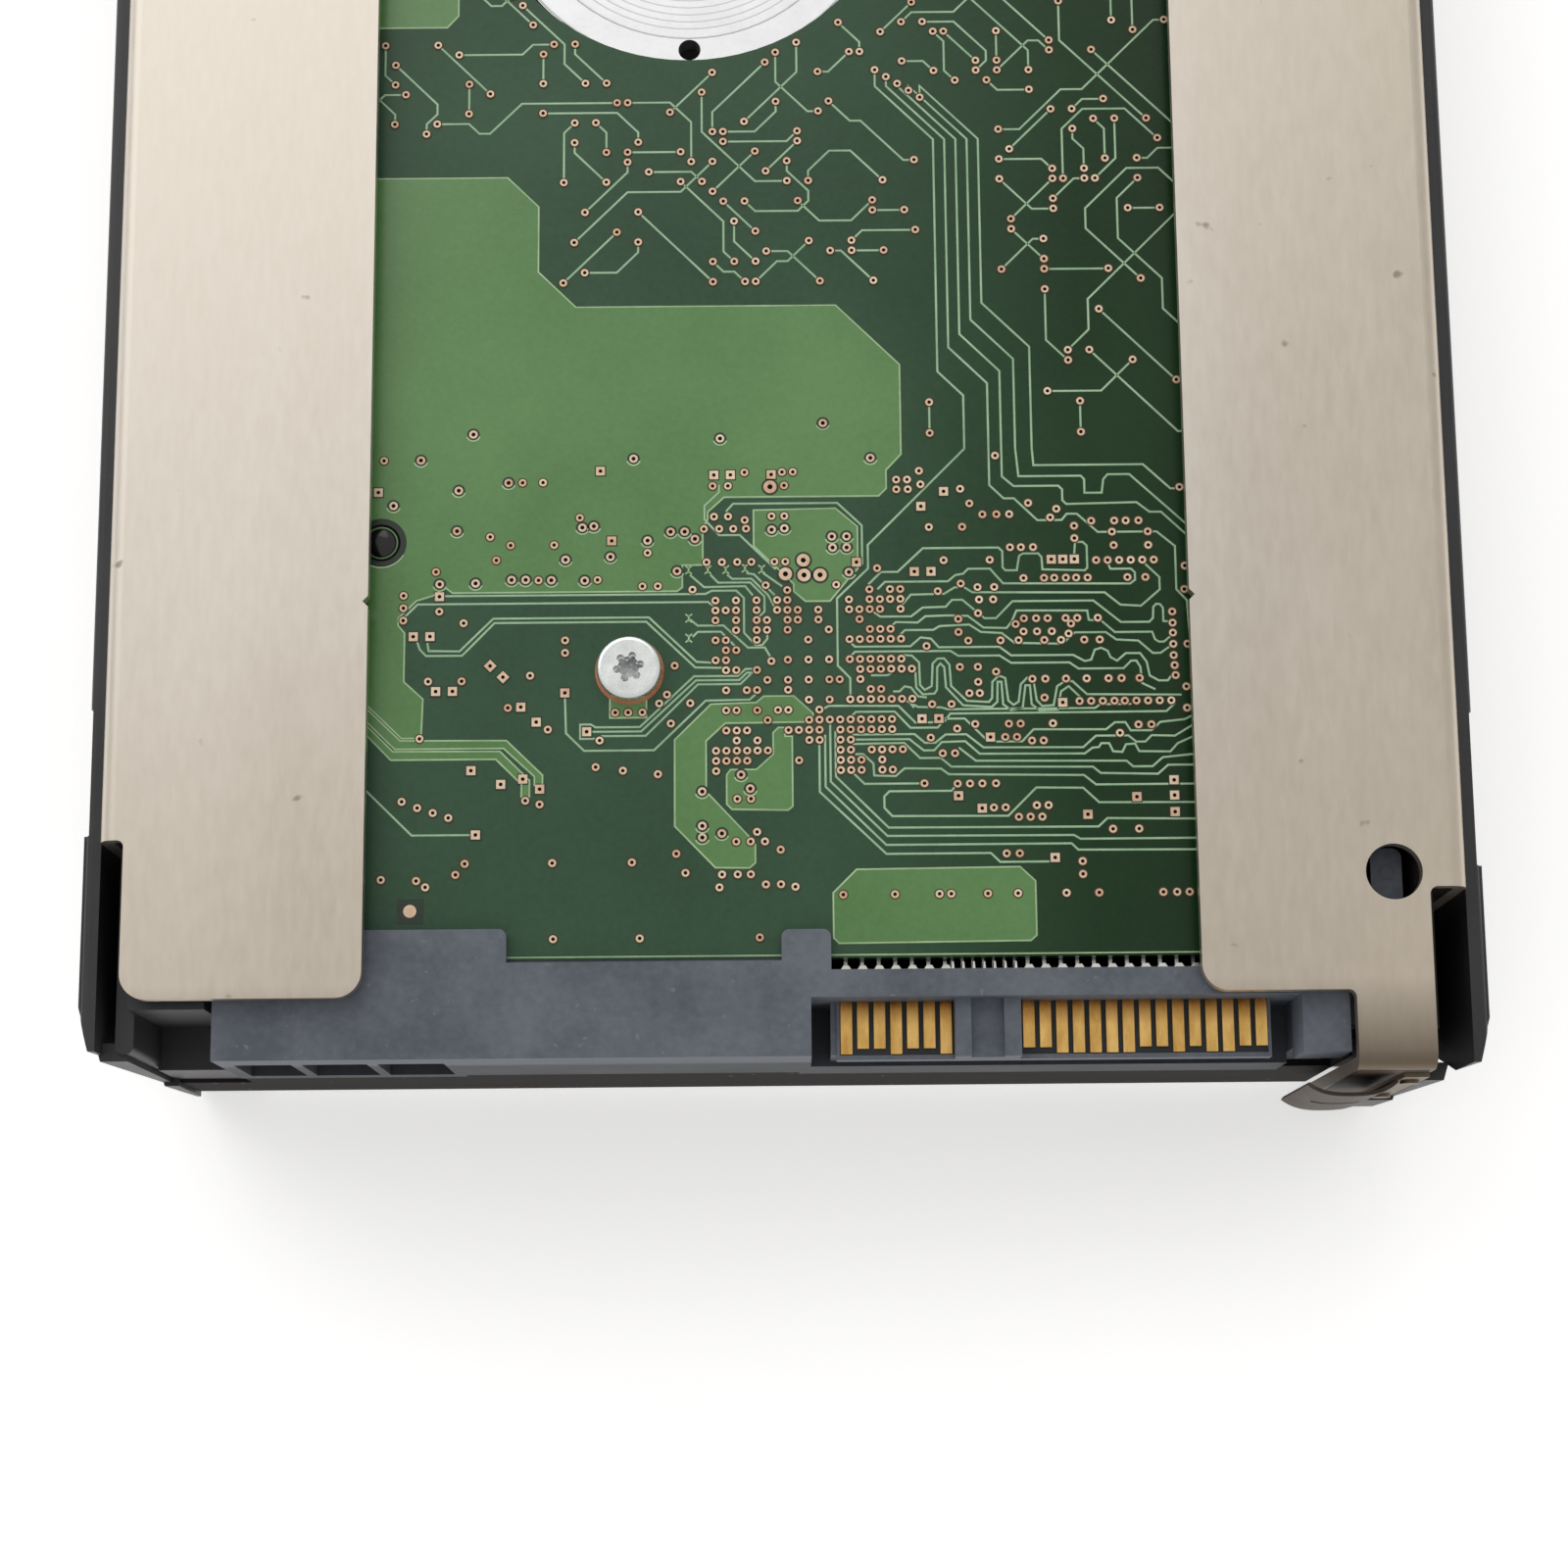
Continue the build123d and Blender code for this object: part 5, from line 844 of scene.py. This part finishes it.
def lay_vias(line_ends):
    """Vias of every kind, each with its hole as a disc of painted shade and its shaded gap, the ringed ones
    with a crescent of painted highlight, and the clear areas of post and test pad.
    """
    top = BOARD_TOP
    rings, hole_shades, gaps, halo_highlights, outlines, clear = (Shapes() for _ in range(6))
    for x, y in all_vias() + line_ends:
        outlines.ring(x, y, 0.28, 0.40, top, top + GAP_UP, 18)
        rings.ring(x, y, 0.12, 0.33, top, top + RING_UP, 18, slope=VIA_SLOPE)
        hole_shades.disc(x, y, 0.14, top, top + HOLE_UP, 12)
    for x, y in WIDE_VIAS:
        gaps.ring(x, y, 0.5, 0.68, top, top + SQUARE_GAP_UP, 24)
        rings.ring(x, y, 0.18, 0.54, top, top + RING_UP, 24, slope=VIA_SLOPE)
        hole_shades.disc(x, y, 0.2, top, top + GAP_UP, 14)
    for x, y in RINGED:
        gaps.ring(x, y, 0.30, 0.50, top, top + GAP_UP, 22)
        # painted highlight: a pale crescent on one side of each ringed via
        halo_highlights.ring(x, y, 0.48, 0.60, top, top + HOLE_UP, 24, start=200, sweep=140)
        rings.ring(x, y, 0.14, 0.36, top, top + RING_UP, 20, slope=VIA_SLOPE)
        hole_shades.disc(x, y, 0.17, top, top + GAP_UP, 12)
    for x, y, turn in SQUARES:
        gaps.prism(square(x, y, 0.44, turn), top, top + SQUARE_GAP_UP)
        rings.prism(square(x, y, 0.35, turn), top, top + RING_UP)
        hole_shades.disc(x, y, 0.15, top, top + SQUARE_HOLE_UP, 12)
    clear.ring(*POST, 1.5, 1.97, top, top + GAP_UP, 40)
    # painted highlight: a pale crescent at the edge of the post's clear ring
    halo_highlights.ring(*POST, 1.95, 2.07, top, top + POST_HALO_UP, 40, start=200, sweep=130)
    hole_shades.ring(*POST, 1.31, 1.52, top, top + RIM_UP, 40)
    clear.prism([(-29.4, 10.5), (-27.45, 10.5), (-27.45, 12.4), (-29.4, 12.4)], top, top + POUR_UP)
    add_piece("clear_areas", clear, GAP)
    add_piece("via_gaps", gaps, GAP)
    add_piece("via_outlines", outlines, OUTLINE)
    add_piece("via_halo_highlights", halo_highlights, HIGHLIGHT_AND_MARKS)
    add_piece("via_rings", rings, VIA)
    add_piece("via_hole_shades", hole_shades, HOLE_SHADE)


def lay_screw_lands():
    lands = Shapes()
    for x, y in SCREWS:
        lands.ring(x, y, 1.65, 2.7, BOARD_TOP, BOARD_TOP + GAP_UP, 40, slope=VIA_SLOPE)
    add_piece("screw_lands", lands, COPPER)


def lay_edge_and_marks():
    """The line along the board's plug edge, and the small H-shaped marks beside the controller."""
    top = BOARD_TOP
    edge, marks = Shapes(), Shapes()
    edge.strip([(-43.2, 7.8), (43.2, 7.8)], EDGE_WIDTH, top, top + POUR_UP, slope=0.03)
    add_piece("board_edge_line", edge, HIGHLIGHT_AND_MARKS)
    for x, y in MARKS:
        for side in (-1, 1):
            marks.strip([(x - 0.26, y + side * 0.34), (x - 0.1, y + side * 0.2), (x + 0.1, y + side * 0.2),
                         (x + 0.26, y + side * 0.34)], 0.14, top, top + RIM_UP, slope=0.02)
        marks.strip([(x, y - 0.2), (x, y + 0.2)], 0.16, top, top + RIM_UP, slope=0.02)
    add_piece("board_marks", marks, HIGHLIGHT_AND_MARKS)


def lay_sockets():
    """The six-lobed socket in each of the board's screw heads, as a dark star of painted shade."""
    socket_shading = Shapes()
    low = BOARD_TOP + SCREW_HEAD_UP
    for x, y in SCREWS:
        star = []
        for k in range(SOCKET_POINTS):
            a = math.radians(k * 360 / SOCKET_POINTS + SOCKET_TURN)
            r = SOCKET_R + LOBE_R * math.cos(LOBES * (a - math.radians(SOCKET_TURN)))
            star.append((x + r * math.cos(a), y + r * math.sin(a)))
        socket_shading.prism(star, low, low + SOCKET_DEPTH)
    add_piece("screw_socket_shading", socket_shading, SOCKET_PAINTED_SHADE)


def line_plug_and_tab():
    """Sheets of painted shade: the dark face between the plug's contacts, and the brown sheet on the tab's
    end wall.
    """
    plug_shade, wall_shade = Shapes(), Shapes()
    plug_z = DATUM - 3.5
    for x0, x1 in ((4.32, 13.03), (18.07, 37.03)):
        plug_shade.prism([(x0, 0.37), (x1, 0.37), (x1, 4.46), (x0, 4.46)], plug_z - 0.14, plug_z - 0.12)
    add_piece("tongue_shade_sheet", plug_shade, TONGUE_SHADE)
    # painted shade on the tab's end wall
    wall_shade.prism([(43.3, -1.53), (48.6, -1.53), (48.6, -1.49), (43.3, -1.49)], 11.0, DATUM - 0.4)
    add_piece("tab_wall_shade_sheet", wall_shade, TAB_WALL_SHADE)


def lay_test_pads():
    """The round pad near the plug, two rows by the bezel end and a column beside the motor's lead-out."""
    pads = Shapes()
    bottom, face = BOARD_TOP, BOARD_TOP + POST_HALO_UP
    pads.disc(*TEST_POINT, 0.5, bottom, face, PAD_SIDES)
    for k in range(9):
        for y in (117.2, 114.6):
            pads.disc(15.8 + k * 1.9, y, 0.55, bottom, face, PAD_SIDES)
    for k in range(4):
        pads.disc(3.2, 112.6 + k * 2.1, 0.75, bottom, face, PAD_SIDES)
    add_piece("test_pad", pads, VIA)


def dress_board():
    bus = bus_lines()
    wandering = wandering_lines(set().union(*(cells_along(line) for line in bus)))
    line_ends = [end for line in wandering for end in (line[0], line[-1])] + [line[-1] for line in bus]
    lay_copper(bus + wandering)
    lay_vias(line_ends)
    lay_screw_lands()
    lay_edge_and_marks()
    lay_sockets()
    line_plug_and_tab()
    lay_test_pads()


GROOVES, FIRST_GROOVE, GROOVE_PITCH = 14, 4.9, 0.62


def dress_motor():
    """Turning marks on the motor's bracket."""
    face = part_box("motor_bracket")[1][2] * 1000
    grooves = Shapes()
    for k in range(GROOVES):
        r = FIRST_GROOVE + k * GROOVE_PITCH
        grooves.ring(*SPINDLE, r, r + 0.16, face - 0.02, face + 0.015, 72, slope=0.05)
    for r in (13.75, 15.95):
        grooves.ring(*SPINDLE, r, r + 0.2, face - 0.02, face + 0.03, 72, slope=0.06)
    add_piece("bracket_turning", grooves, MATERIALS["lid_metal"])


def dress_catch_spring():
    """The catch's coil spring, shown by a copy fixed to the carrier in place of the hidden original."""
    spring = frame["nodes"]["button_spring"]
    subparts = frame["record"]["subparts"]
    slot_name = next(e["material_slot"] for e in subparts if e["node"] == "button_spring")
    coil = bpy.data.objects.new("catch_coil", spring.data.copy())
    bpy.context.collection.objects.link(coil)
    coil.matrix_world = spring.matrix_world.copy()
    coil.data.materials.clear()
    coil.data.materials.append(MATERIALS[slot_name])
    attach(coil, BODY)
    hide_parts("button_spring")
    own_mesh(coil)


make_camera()
make_stage()
dress_nodes()
dress_board()
dress_motor()
dress_catch_spring()
